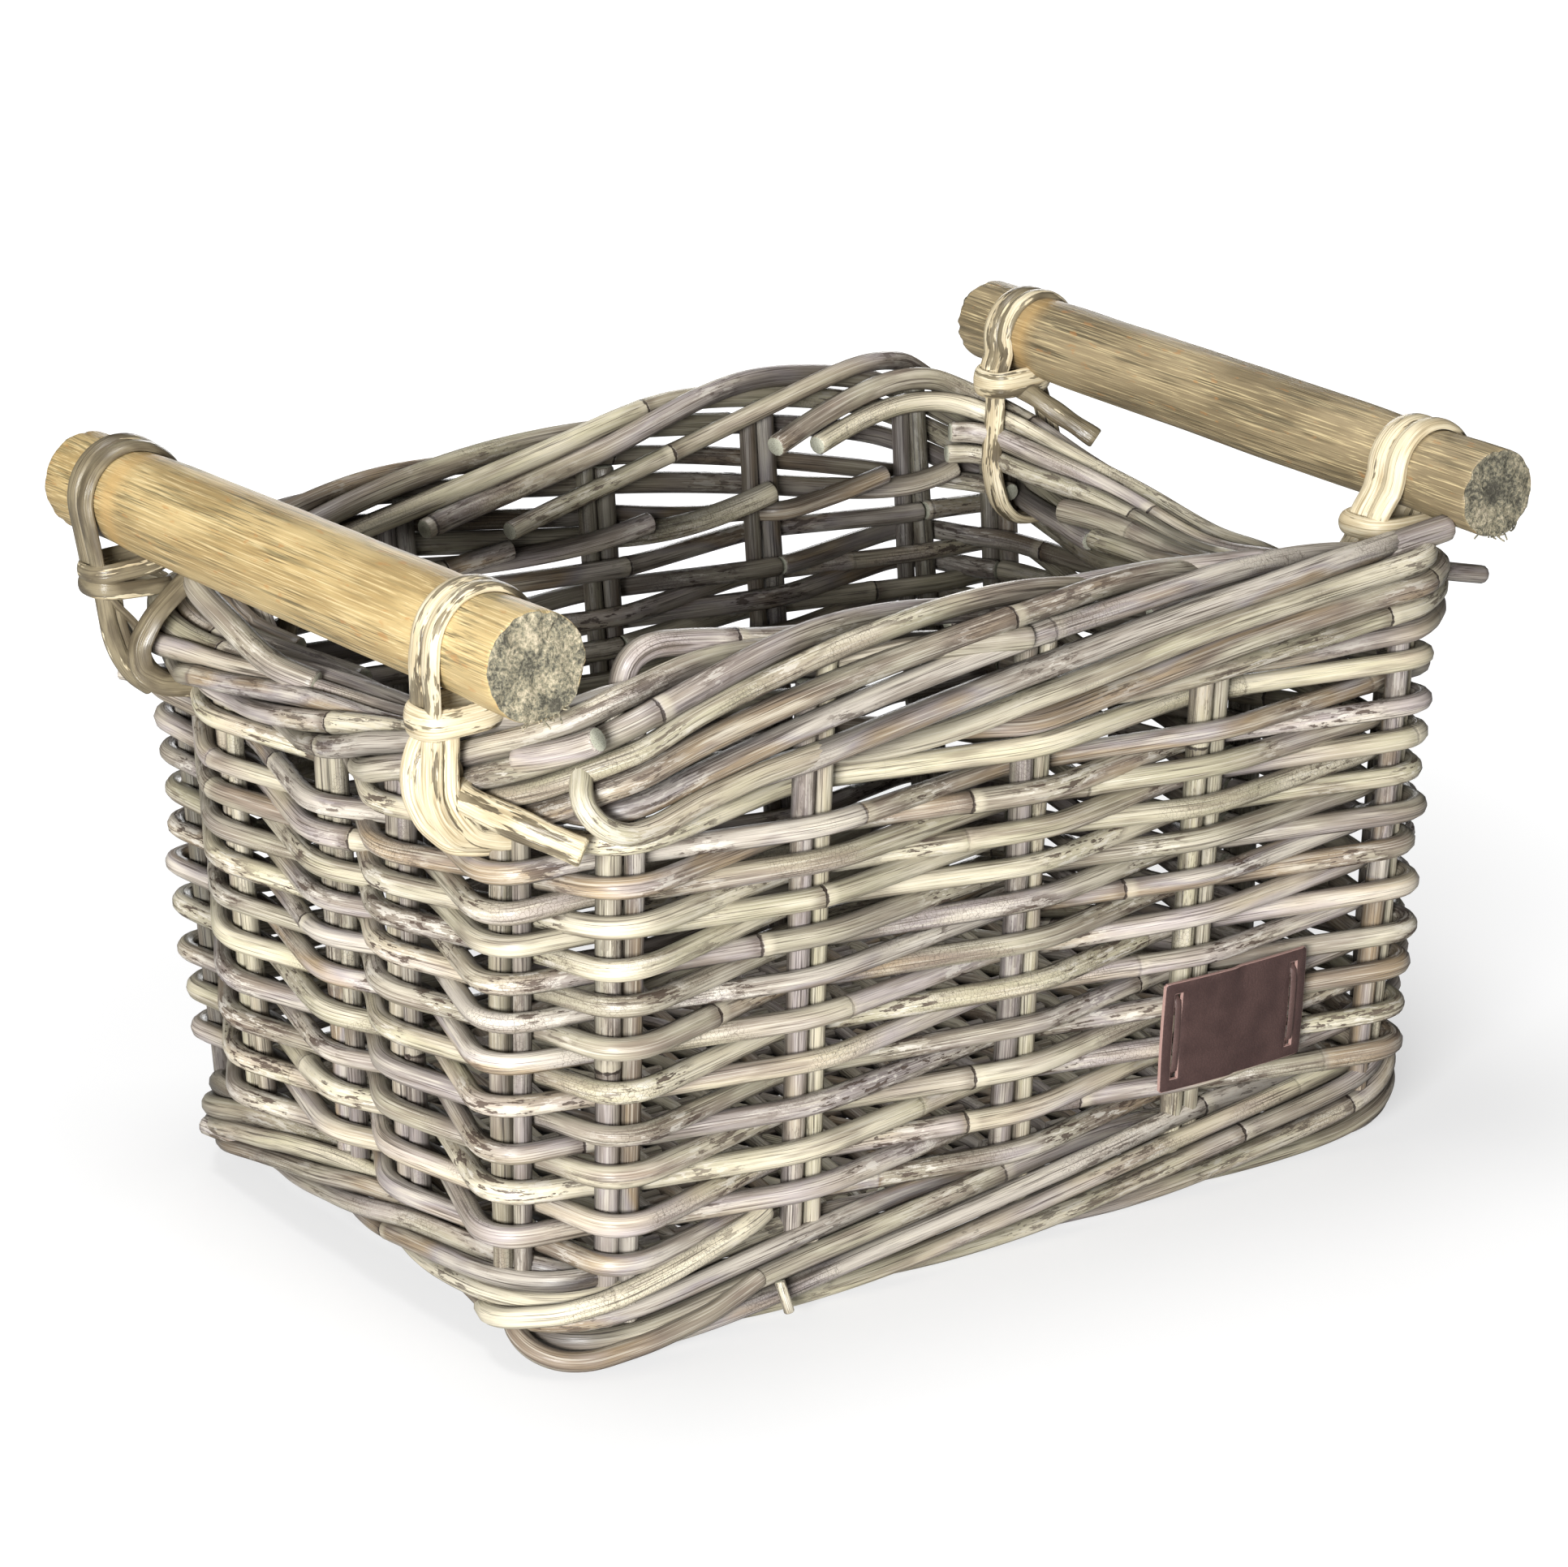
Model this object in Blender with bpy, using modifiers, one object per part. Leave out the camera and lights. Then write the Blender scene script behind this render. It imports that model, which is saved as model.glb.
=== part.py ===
"""A rectangular rattan basket with two lashed pole handles, for Blender 4.5.

Eighteen pairs of upright stakes carry twenty-one rows of weaving. A rope of thick rods finishes the rim,
another makes the foot, and a woven base lies between the walls. One round pole stands above each short side,
lashed at both ends with flat cane. A leather label sits low on the front.
"""
import bpy
import bmesh
from math import atan, cos, pi, sin, tau
from mathutils import Matrix, Vector

# Walls, measured to the middle of the stakes, at the floor. The lean is outward travel over height.
WALL_HALF_LENGTH = 0.1625
WALL_HALF_WIDTH = 0.1065
LENGTH_LEAN_SHARE = 0.01
WIDTH_LEAN_SHARE = 0.085
CORNER_RADIUS = 0.022
CLEARANCE = 0.0003

# Stakes: two round rods side by side, pressed into each other a little.
STAKE_RADIUS = 0.0031
STAKE_PRESS = 0.0006
STAKE_TO_RIM = 0.0010

# Weaving: each row passes outside one pair of stakes and inside the next.
ROW_COUNT = 21
WEAVER_RADIUS = 0.00265
ROW_GAP = 0.0010
LASHING_SLOT = 0.0044
WEAVER_REACH = 0.0070
WEAVE_RISE = 0.0030
WEAVE_DIP = 0.0080

# Foot: three thick rods twisted round each other, lifted in the middle of the short sides, worn flat below.
FOOT_RODS = 3
FOOT_TURNS = 3
FOOT_ROD_RADIUS = 0.0040
FOOT_HEIGHT = 0.0300
FOOT_HALF_DEPTH = 0.0045
FOOT_LIFTED_HALF_HEIGHT = 0.0052
FOOT_LIFTED_HALF_DEPTH = 0.0054
FOOT_TO_WEAVE = 0.0010
FOOT_WEAR = 0.0009
FOOT_ROUNDNESS_SHARE = 0.6

# Rim: six rods twisted round each other. Where the rim is low it spreads sideways to hold them all.
RIM_RODS = 6
RIM_TURNS = 3
RIM_ROD_RADIUS = 0.0033
RIM_ROD_GAP = 0.0022
RIM_RISE = 0.0476
RIM_LEAST_HALF_HEIGHT = 0.0042
RIM_LEAST_HALF_DEPTH = 0.0050
RIM_TO_WEAVE = 0.0012
RIM_ROUNDNESS_SHARE = 1.0

# Height of the rim's top over its foot as shares of RIM_RISE, at equal steps from left to right, near to far.
RIM_FRONT_SHARES = (0.706, 0.932, 1.000, 1.000, 0.968, 0.896, 0.819, 0.774, 0.660)
RIM_BACK_SHARES = (0.457, 0.751, 0.887, 0.919, 0.968, 1.068, 1.136, 1.158, 0.819)
RIM_LEFT_SHARES = (0.751, 0.520, 0.330, 0.208, 0.253, 0.267, 0.194, 0.230, 0.366)
RIM_RIGHT_SHARES = (0.706, 0.411, 0.208, 0.095, 0.117, 0.321, 0.434, 0.570, 0.751)

# Base
BASE_THICKNESS = 0.0060
BASE_HEIGHT = 0.0170

# Poles: each has its own thickness. At each lashing it lies a named way out from the wall and over the rim.
POLE_OVERHANG = 0.0107
POLE_LEFT_RADIUS = 0.0160
POLE_RIGHT_RADIUS = 0.0141
POLE_LEFT_OUT_NEAR = 0.0105
POLE_LEFT_OUT_FAR = 0.0105
POLE_RIGHT_OUT_NEAR = 0.0080
POLE_RIGHT_OUT_FAR = 0.0121
POLE_LEFT_GAP_NEAR = 0.0073
POLE_LEFT_GAP_FAR = 0.0213
POLE_RIGHT_GAP_NEAR = 0.0078
POLE_RIGHT_GAP_FAR = 0.0080
POLE_EDGE = 0.0012
POLE_SIDES = 24

# Lashings of flat cane. Each foot stands at a share of the half width, and its head leans to the pole's end.
LASHING_NEAR_SHARE = -0.604
LASHING_FAR_SHARE = 0.687
LASHING_NEAR_LEAN = 0.0270
LASHING_FAR_LEAN = 0.0230
CANE_THICKNESS = 0.0022
LASHING_WIDTH = 0.0110
LASHING_CLEARANCE = 0.0008
LASHING_RIM_CLEARANCE = 0.0016
LASHING_NECK_HALF = 0.0058
LASHING_CORNER_SHARE = 0.6
COLLAR_HEIGHT = 0.0100
COLLAR_WRAP = 0.0020

# Leather label, with its middle at a share of the half length
LABEL_PLACE_SHARE = 0.474
LABEL_WIDTH = 0.0565
LABEL_HEIGHT = 0.0362
LABEL_THICKNESS = 0.0018
LABEL_CORNER = 0.0015
LABEL_CENTRE_HEIGHT = 0.0590
SLOT_WIDTH = 0.0030
SLOT_HEIGHT = 0.0285
SLOT_INSET = 0.0052
LACE_THICKNESS = 0.0014
LACE_ROUNDNESS_SHARE = 0.9

# Where the pairs of stakes stand, as shares of the wall's half length and half width, going round from the
# near left corner along the front.
STAKE_PLACE_SHARES = (
    (-0.868, -1.000), (-0.475, -1.000), (0.000, -1.000), (0.409, -1.000), (0.877, -1.000),
    (1.000, -0.780), (1.000, -0.200), (1.000, 0.350), (0.985, 0.900),
    (0.816, 1.000), (0.428, 1.000), (0.029, 1.000), (-0.436, 1.000), (-0.930, 0.985),
    (-1.000, 0.560), (-1.000, 0.030), (-1.000, -0.300), (-1.000, -0.807),
)

ROW_PITCH = 2 * WEAVER_RADIUS + ROW_GAP
FIRST_ROW_HEIGHT = FOOT_HEIGHT + FOOT_TO_WEAVE + WEAVER_RADIUS
LAST_ROW_HEIGHT = FIRST_ROW_HEIGHT + (ROW_COUNT - 1) * ROW_PITCH + LASHING_SLOT
RIM_BOTTOM = LAST_ROW_HEIGHT + WEAVER_RADIUS + RIM_TO_WEAVE
WELD = CLEARANCE / 30
WEAVER_OFFSET = STAKE_RADIUS + WEAVER_RADIUS + CLEARANCE

ROD_GREY = (0.40, 0.36, 0.30)
STAKE_GREY = (0.33, 0.31, 0.27)
BORDER_GREY = (0.36, 0.33, 0.29)
POLE_OLIVE = (0.46, 0.36, 0.17)
POLE_BROWN = (0.31, 0.24, 0.14)
CANE_CREAM = (0.66, 0.58, 0.40)
LEATHER_BROWN = (0.078, 0.045, 0.042)
LACE_BROWN = (0.24, 0.14, 0.13)


def clear_scene():
    """Remove whatever the file starts with."""
    for thing in list(bpy.data.objects):
        bpy.data.objects.remove(thing, do_unlink=True)


def material(name, colour, roughness):
    """A plain Principled material."""
    made = bpy.data.materials.new(name)
    made.use_nodes = True
    shader = made.node_tree.nodes["Principled BSDF"]
    shader.inputs["Base Color"].default_value = (*colour, 1.0)
    shader.inputs["Roughness"].default_value = roughness
    shader.inputs["Metallic"].default_value = 0.0
    return made


def add_object(name, data, collection, finish):
    """Put mesh or curve data into the basket's collection under its own name."""
    thing = bpy.data.objects.new(name, data)
    collection.objects.link(thing)
    data.materials.append(finish)
    return thing


def half_length(height):
    return WALL_HALF_LENGTH + LENGTH_LEAN_SHARE * height


def half_width(height):
    return WALL_HALF_WIDTH + WIDTH_LEAN_SHARE * height


def stake_place(index, height):
    """Middle of one pair of stakes at a height."""
    along, across = STAKE_PLACE_SHARES[index % len(STAKE_PLACE_SHARES)]
    return Vector((along * half_length(height), across * half_width(height), height))


def stake_direction(index, height):
    """Level direction of the wall at a pair of stakes, halfway between the directions to its neighbours."""
    here = stake_place(index, height)
    before = (here - stake_place(index - 1, height)).normalized()
    after = (stake_place(index + 1, height) - here).normalized()
    return (before + after).normalized()


def outward(direction):
    """Level direction that points out of the basket, for a wall that runs anticlockwise seen from above."""
    return Vector((direction.y, -direction.x, 0.0))


def ring_tube(name, points, radius, collection, finish):
    """A six-sided tube along a closed ring of points."""
    curve = bpy.data.curves.new(name, "CURVE")
    curve.dimensions = "3D"
    curve.bevel_depth = radius
    curve.bevel_resolution = 1
    spline = curve.splines.new("POLY")
    spline.points.add(len(points) - 1)
    for slot, point in zip(spline.points, points):
        slot.co = (*point, 1.0)
    spline.use_cyclic_u = True
    return add_object(name, curve, collection, finish)


def flat_shape(name, outlines, thickness, collection, finish):
    """A flat outline with holes, in its own XY plane, with its thickness along Z."""
    curve = bpy.data.curves.new(name, "CURVE")
    curve.dimensions = "2D"
    curve.fill_mode = "BOTH"
    curve.extrude = thickness / 2
    for outline in outlines:
        spline = curve.splines.new("POLY")
        spline.points.add(len(outline) - 1)
        for slot, (x, y) in zip(spline.points, outline):
            slot.co = (x, y, 0.0, 1.0)
        spline.use_cyclic_u = True
    return add_object(name, curve, collection, finish)


def curve_to_mesh(thing):
    """Replace a curve object by a welded mesh object of the same name, with its place in its mesh."""
    bpy.context.view_layer.update()
    depsgraph = bpy.context.evaluated_depsgraph_get()
    mesh = bpy.data.meshes.new_from_object(thing.evaluated_get(depsgraph))
    mesh.transform(thing.matrix_world)
    name = thing.name
    collection = thing.users_collection[0]
    finish = thing.data.materials[0]
    bpy.data.objects.remove(thing, do_unlink=True)
    shape = bmesh.new()
    shape.from_mesh(mesh)
    bmesh.ops.remove_doubles(shape, verts=shape.verts, dist=WELD)
    shape.to_mesh(mesh)
    shape.free()
    mesh.materials.clear()
    return add_object(name, mesh, collection, finish)


def arc(centre, radius, start, end, steps):
    """Points of an arc in the plane, with both ends."""
    return [(centre[0] + radius * cos(start + (end - start) * i / steps),
             centre[1] + radius * sin(start + (end - start) * i / steps)) for i in range(steps + 1)]


def rounded_rectangle(half_x, half_y, radius, steps):
    """Outline of a rectangle with round corners, anticlockwise."""
    points = []
    for quarter, (sx, sy) in enumerate(((1, 1), (-1, 1), (-1, -1), (1, -1))):
        centre = (sx * (half_x - radius), sy * (half_y - radius))
        points += arc(centre, radius, quarter * pi / 2, (quarter + 1) * pi / 2, steps)
    return points


def stake_outline():
    """Plan of two touching round rods."""
    middle = STAKE_RADIUS - STAKE_PRESS / 2
    meet = pi - atan((STAKE_RADIUS ** 2 - middle ** 2) ** 0.5 / middle)
    right = arc((middle, 0.0), STAKE_RADIUS, -meet, meet, 7)
    left = arc((-middle, 0.0), STAKE_RADIUS, pi - meet, pi + meet, 7)
    return right + left[1:-1]


def corner_weight(point):
    """Nought along the long sides, rising to one along the short sides."""
    return min(max((abs(point.x) - (half_length(0.0) - CORNER_RADIUS)) / CORNER_RADIUS, 0.0), 1.0)


def squeeze(point):
    """How far the weave is squeezed: nought on the long sides, one in the middle of the short sides."""
    across = min(abs(point.y) / half_width(point.z), 1.0)
    return corner_weight(point) * (1 - across ** 2)


def foot_top(point):
    return FOOT_HEIGHT + WEAVE_RISE * squeeze(point)


def rim_bottom(point):
    return RIM_BOTTOM - WEAVE_DIP * squeeze(point)


def add_stakes(collection, finish):
    """Pairs of stakes, from the foot rope up to the rim rope."""
    for index in range(len(STAKE_PLACE_SHARES)):
        bottom = foot_top(stake_place(index, FOOT_HEIGHT)) + CLEARANCE
        top = rim_bottom(stake_place(index, RIM_BOTTOM)) - STAKE_TO_RIM
        low = stake_place(index, bottom)
        high = stake_place(index, top)
        rise = (high - low).normalized()
        side = stake_direction(index, (bottom + top) / 2)
        side = (side - rise * side.dot(rise)).normalized()
        stake = flat_shape(f"stake_pair_{index + 1:02d}", [stake_outline()], (high - low).length,
                           collection, finish)
        turn = Matrix((side, rise.cross(side), rise)).transposed().to_4x4()
        stake.matrix_world = Matrix.Translation((low + high) / 2) @ turn


def row_height(row, place):
    """Middle of one row of weaving at a place on the wall. The lashings' slot lies under the last row."""
    level = FIRST_ROW_HEIGHT + row * ROW_PITCH
    if row == ROW_COUNT - 1:
        level = LAST_ROW_HEIGHT
    share = row / (ROW_COUNT - 1)
    return level + (WEAVE_RISE * (1 - share) - WEAVE_DIP * share) * squeeze(place)


def add_weaving(collection, finish):
    """Rows of weaving. Even rows pass outside the even pairs, odd rows outside the odd pairs."""
    for row in range(ROW_COUNT):
        points = []
        for index in range(len(STAKE_PLACE_SHARES)):
            height = row_height(row, stake_place(index, RIM_BOTTOM / 2))
            middle = stake_place(index, height)
            along = stake_direction(index, height)
            side = WEAVER_OFFSET if (index + row) % 2 == 0 else -WEAVER_OFFSET
            for reach in (-WEAVER_REACH, WEAVER_REACH):
                points.append(middle + along * reach + outward(along) * side)
        ring_tube(f"weave_row_{row + 1:02d}", points, WEAVER_RADIUS, collection, finish)


def wall_path(half_x, half_y, radius):
    """Points round the basket, seen from above and anticlockwise from the front's left end.

    Each entry holds the point, the outward direction and the distance travelled so far.
    """
    sides = ((half_x, half_y), (half_y, half_x))
    steps_on_straights = (11, 8)
    steps_on_corner = 3
    path = []
    travelled = 0.0
    for side in range(4):
        reach, away = sides[side % 2]
        facing = -pi / 2 + side * pi / 2
        out = Vector((cos(facing), sin(facing), 0.0))
        along = Vector((-out.y, out.x, 0.0))
        straight = 2 * (reach - radius)
        count = steps_on_straights[side % 2]
        for step in range(count):
            share = step / count
            path.append((out * away + along * (straight * (share - 0.5)), out, travelled + straight * share))
        travelled += straight
        centre = out * (away - radius) + along * (straight / 2)
        for step in range(steps_on_corner):
            angle = facing + pi / 2 * step / steps_on_corner
            turned = Vector((cos(angle), sin(angle), 0.0))
            path.append((centre + turned * radius, turned, travelled + radius * (angle - facing)))
        travelled += radius * pi / 2
    return path, travelled


def round_slot_point(half_depth, half_height, roundness, share):
    """A point (outward, upward) on a rounded slot outline, by its share of the outline's length.

    The share starts at the middle of the outer side and goes up, over the top and down the inner side. The
    corners are quarter circles, whose radius is the roundness times the smaller half size.
    """
    radius = min(half_depth, half_height) * roundness
    flat = half_height - radius
    level = half_depth - radius
    quarter = radius * pi / 2
    runs = (flat, quarter, 2 * level, quarter, 2 * flat, quarter, 2 * level, quarter, flat)
    left = (share % 1.0) * sum(runs)
    for number, run in enumerate(runs):
        if left <= run or number == len(runs) - 1:
            break
        left -= run
    corner_centres = ((level, flat), (-level, flat), (-level, -flat), (level, -flat))
    if number % 2 == 1:
        corner = number // 2
        angle = corner * pi / 2 + left / radius
        level, flat = corner_centres[corner]
        return (level + radius * cos(angle), flat + radius * sin(angle))
    straights = ((half_depth, left), (level - left, half_height), (-half_depth, flat - left),
                 (left - level, -half_height), (half_depth, left - flat))
    return straights[number // 2]


def between_shares(shares, place):
    """Read a row of equally spaced shares at a place from -1 to 1, with straight lines between them."""
    steps = len(shares) - 1
    along = (min(max(place, -1.0), 1.0) + 1) / 2 * steps
    first = min(int(along), steps - 1)
    return shares[first] + (shares[first + 1] - shares[first]) * (along - first)


def rim_section(point):
    """Middle height, half height and half depth of the rim's rod centres at a place on the wall.

    The rods lie side by side round a slot outline. Its length is 4 (h - d) + 2 pi d where the half height h
    is over the half depth d, and 4 (d - h) + 2 pi h elsewhere. The depth is the least that holds them all.
    """
    lengthwise = between_shares(RIM_FRONT_SHARES if point.y < 0 else RIM_BACK_SHARES,
                                point.x / half_length(RIM_BOTTOM))
    crosswise = between_shares(RIM_LEFT_SHARES if point.x < 0 else RIM_RIGHT_SHARES,
                               point.y / half_width(RIM_BOTTOM))
    short = corner_weight(point)
    top = RIM_BOTTOM + RIM_RISE * (lengthwise * (1 - short) + crosswise * short) - RIM_ROD_RADIUS
    low = rim_bottom(point) + RIM_ROD_RADIUS
    half_height = max((top - low) / 2, RIM_LEAST_HALF_HEIGHT)
    needed = RIM_RODS * (2 * RIM_ROD_RADIUS + RIM_ROD_GAP)
    half_depth = half_height + (needed - tau * half_height) / 4
    if half_depth < half_height:
        half_depth = (needed - 4 * half_height) / (tau - 4)
    return low + half_height, half_height, max(half_depth, RIM_LEAST_HALF_DEPTH)


def foot_section(point):
    """Middle height, half height and half depth of the foot's rod centres at a place on the wall."""
    lift = squeeze(point)
    high = foot_top(point) - FOOT_ROD_RADIUS
    full = (FOOT_HEIGHT - 2 * FOOT_ROD_RADIUS + FOOT_WEAR) / 2
    half_height = full + (FOOT_LIFTED_HALF_HEIGHT - full) * lift
    half_depth = FOOT_HALF_DEPTH + (FOOT_LIFTED_HALF_DEPTH - FOOT_HALF_DEPTH) * lift
    return high - half_height, half_height, half_depth


def add_rope(name, count, turns, radius, roundness, section, height, collection, finish):
    """Rods twisted round each other along the wall. Each is a closed ring with its own share of a turn."""
    path, length = wall_path(half_length(height), half_width(height), CORNER_RADIUS)
    rods = []
    for number in range(count):
        points = []
        for point, out, travelled in path:
            place = point + Vector((0.0, 0.0, height))
            middle, half_height, half_depth = section(place)
            share = number / count + turns * travelled / length
            away, up = round_slot_point(half_depth, half_height, roundness, share)
            points.append(point + out * away + Vector((0.0, 0.0, middle + up)))
        rods.append(ring_tube(f"{name}_{number + 1}", points, radius, collection, finish))
    return rods


def add_foot(collection, cutters, finish):
    """The foot rope, worn flat where it stands."""
    rods = add_rope("foot_rod", FOOT_RODS, FOOT_TURNS, FOOT_ROD_RADIUS, FOOT_ROUNDNESS_SHARE, foot_section,
                    FOOT_HEIGHT / 2, collection, finish)
    bpy.ops.mesh.primitive_cube_add(size=1.0, location=(0.0, 0.0, -FOOT_HEIGHT / 2))
    ground = bpy.context.object
    ground.name = "ground_cutter"
    ground.scale = (3 * WALL_HALF_LENGTH, 3 * WALL_HALF_WIDTH, FOOT_HEIGHT)
    for owner in list(ground.users_collection):
        owner.objects.unlink(ground)
    cutters.objects.link(ground)
    ground.hide_render = True
    ground.display_type = "WIRE"
    for rod in rods:
        rod = curve_to_mesh(rod)
        worn = rod.modifiers.new("worn flat", "BOOLEAN")
        worn.operation = "DIFFERENCE"
        worn.object = ground


def add_base(collection, finish):
    """The woven base as one flat panel inside the foot rope."""
    inset = FOOT_LIFTED_HALF_DEPTH + FOOT_ROD_RADIUS + CLEARANCE
    middle = BASE_HEIGHT + BASE_THICKNESS / 2
    outline = rounded_rectangle(half_length(FOOT_HEIGHT / 2) - inset, half_width(FOOT_HEIGHT / 2) - inset,
                                CORNER_RADIUS - inset, 4)
    base = flat_shape("base_weave", [outline], BASE_THICKNESS, collection, finish)
    base.location = (0.0, 0.0, middle)


def rim_top(side, across):
    """Height of the rim's upper side in the middle of a short side's band, at a place across the basket."""
    middle, half_height, _ = rim_section(Vector((side * half_length(RIM_BOTTOM), across, RIM_BOTTOM)))
    return middle + half_height + RIM_ROD_RADIUS


def lashing_heads():
    """Places across the basket where the near and far lashings meet the poles."""
    width = half_width(RIM_BOTTOM)
    return LASHING_NEAR_SHARE * width - LASHING_NEAR_LEAN, LASHING_FAR_SHARE * width + LASHING_FAR_LEAN


def pole_radius(side):
    return POLE_LEFT_RADIUS if side < 0 else POLE_RIGHT_RADIUS


def pole_point(side, across):
    """Point of a pole's axis at a place across the basket. The side is -1 on the left and 1 on the right.

    The axis is a straight line through the points that the named gaps give above the two lashings.
    """
    places = ((POLE_LEFT_OUT_NEAR, POLE_LEFT_GAP_NEAR), (POLE_LEFT_OUT_FAR, POLE_LEFT_GAP_FAR))
    if side > 0:
        places = ((POLE_RIGHT_OUT_NEAR, POLE_RIGHT_GAP_NEAR), (POLE_RIGHT_OUT_FAR, POLE_RIGHT_GAP_FAR))
    ends = []
    for head, (out, gap) in zip(lashing_heads(), places):
        height = rim_top(side, head) + gap + pole_radius(side)
        ends.append(Vector((side * (half_length(RIM_BOTTOM) + out), head, height)))
    return ends[0] + (ends[1] - ends[0]) * (across - ends[0].y) / (ends[1].y - ends[0].y)


def add_pole(name, side, collection, finish):
    """A solid round pole with slightly rounded ends."""
    reach = half_width(RIM_BOTTOM) + POLE_OVERHANG
    near = pole_point(side, -reach)
    far = pole_point(side, reach)
    mesh = bpy.data.meshes.new(name)
    shape = bmesh.new()
    bmesh.ops.create_cone(shape, cap_ends=True, segments=POLE_SIDES, radius1=pole_radius(side),
                          radius2=pole_radius(side), depth=(far - near).length)
    shape.to_mesh(mesh)
    shape.free()
    pole = add_object(name, mesh, collection, finish)
    edge = pole.modifiers.new("rounded ends", "BEVEL")
    edge.width = POLE_EDGE
    edge.segments = 1
    edge.limit_method = "ANGLE"
    turn = (far - near).to_track_quat("Z", "X").to_matrix().to_4x4()
    pole.matrix_world = Matrix.Translation((near + far) / 2) @ turn
    mesh.shade_smooth()


def moved(points, place):
    """Plane points moved by a place."""
    return [(place[0] + x, place[1] + y) for x, y in points]


def lashing_outlines(side, foot, head):
    """Outer line, pole hole and rim hole of a lashing in the plane across the pole.

    The neck's middle, the room for its collar and the lashing's lowest and highest heights follow them.
    """
    rim_middle = side * half_length(RIM_BOTTOM)
    wall = Vector((rim_middle, foot, RIM_BOTTOM))
    below = row_height(ROW_COUNT - 2, wall) + WEAVER_RADIUS
    above = row_height(ROW_COUNT - 1, wall) - WEAVER_RADIUS
    low = (below + above - CANE_THICKNESS) / 2
    hole = pole_radius(side) + LASHING_CLEARANCE
    outer = hole + CANE_THICKNESS
    guess = pole_point(side, head).z
    pole = pole_point(side, foot + (head - foot) * (guess - low) / (guess + outer - low))
    high = pole.z + outer
    half_depth = rim_section(wall)[2]
    wall.y = foot + (head - foot) * (pole.z - hole - low) / (high - low)
    wall.y += (LASHING_WIDTH / 2 + COLLAR_WRAP) * (1 if head > foot else -1)
    depth_above = rim_section(wall)[2]
    rim_half = max(half_depth, depth_above) + RIM_ROD_RADIUS + LASHING_RIM_CLEARANCE
    hole_top = rim_top(side, wall.y) + LASHING_RIM_CLEARANCE
    hole_low = low + CANE_THICKNESS
    rim_half_height = (hole_top - hole_low) / 2
    rim_centre = (rim_middle, (hole_top + hole_low) / 2)
    neck_height = (hole_top + pole.z - hole) / 2
    neck = (pole.x + (rim_middle - pole.x) * (pole.z - neck_height) / (pole.z - rim_centre[1]), neck_height)
    rounding = min(rim_half, rim_half_height) * LASHING_CORNER_SHARE
    lower = rounded_rectangle(rim_half + CANE_THICKNESS, rim_half_height + CANE_THICKNESS,
                              rounding + CANE_THICKNESS, 4)
    quarter = len(lower) // 4
    outline = arc((pole.x, pole.z), outer, -pi / 3, 4 * pi / 3, 16)
    outline.append((neck[0] - LASHING_NECK_HALF, neck[1]))
    outline += moved(lower[quarter:] + lower[:quarter], rim_centre)
    outline.append((neck[0] + LASHING_NECK_HALF, neck[1]))
    pole_hole = arc((pole.x, pole.z), hole, 0.0, tau, POLE_SIDES)[:-1]
    rim_hole = moved(rounded_rectangle(rim_half, rim_half_height, rounding, 4), rim_centre)
    room = pole.z - hole - hole_top
    return outline, pole_hole, rim_hole, neck, room, low, high


def add_lashing(name, side, foot, head, collection, finish):
    """Flat cane round the pole and round the rim, with a collar at its neck, leaning from foot to head."""
    outline, pole_hole, rim_hole, neck, room, low, high = lashing_outlines(side, foot, head)
    plate = flat_shape(name, [outline, pole_hole, rim_hole], LASHING_WIDTH, collection, finish)
    plate.matrix_world = Matrix.Rotation(pi / 2, 4, "X")
    plate = curve_to_mesh(plate)
    collar_x = LASHING_NECK_HALF + COLLAR_WRAP
    collar_y = LASHING_WIDTH / 2 + COLLAR_WRAP
    rounding = collar_x * LASHING_CORNER_SHARE
    collar = flat_shape(name + "_collar", [rounded_rectangle(collar_x, collar_y, rounding, 3)],
                        min(COLLAR_HEIGHT, room), collection, finish)
    collar.location = (neck[0], 0.0, neck[1])
    collar = curve_to_mesh(collar)
    join = plate.modifiers.new("collar", "BOOLEAN")
    join.operation = "UNION"
    join.object = collar
    bpy.context.view_layer.update()
    depsgraph = bpy.context.evaluated_depsgraph_get()
    joined = bpy.data.meshes.new_from_object(plate.evaluated_get(depsgraph))
    bpy.data.objects.remove(plate, do_unlink=True)
    bpy.data.objects.remove(collar, do_unlink=True)
    for vertex in joined.vertices:
        vertex.co.y += foot + (head - foot) * (vertex.co.z - low) / (high - low)
    joined.materials.clear()
    add_object(name, joined, collection, finish)


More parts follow.
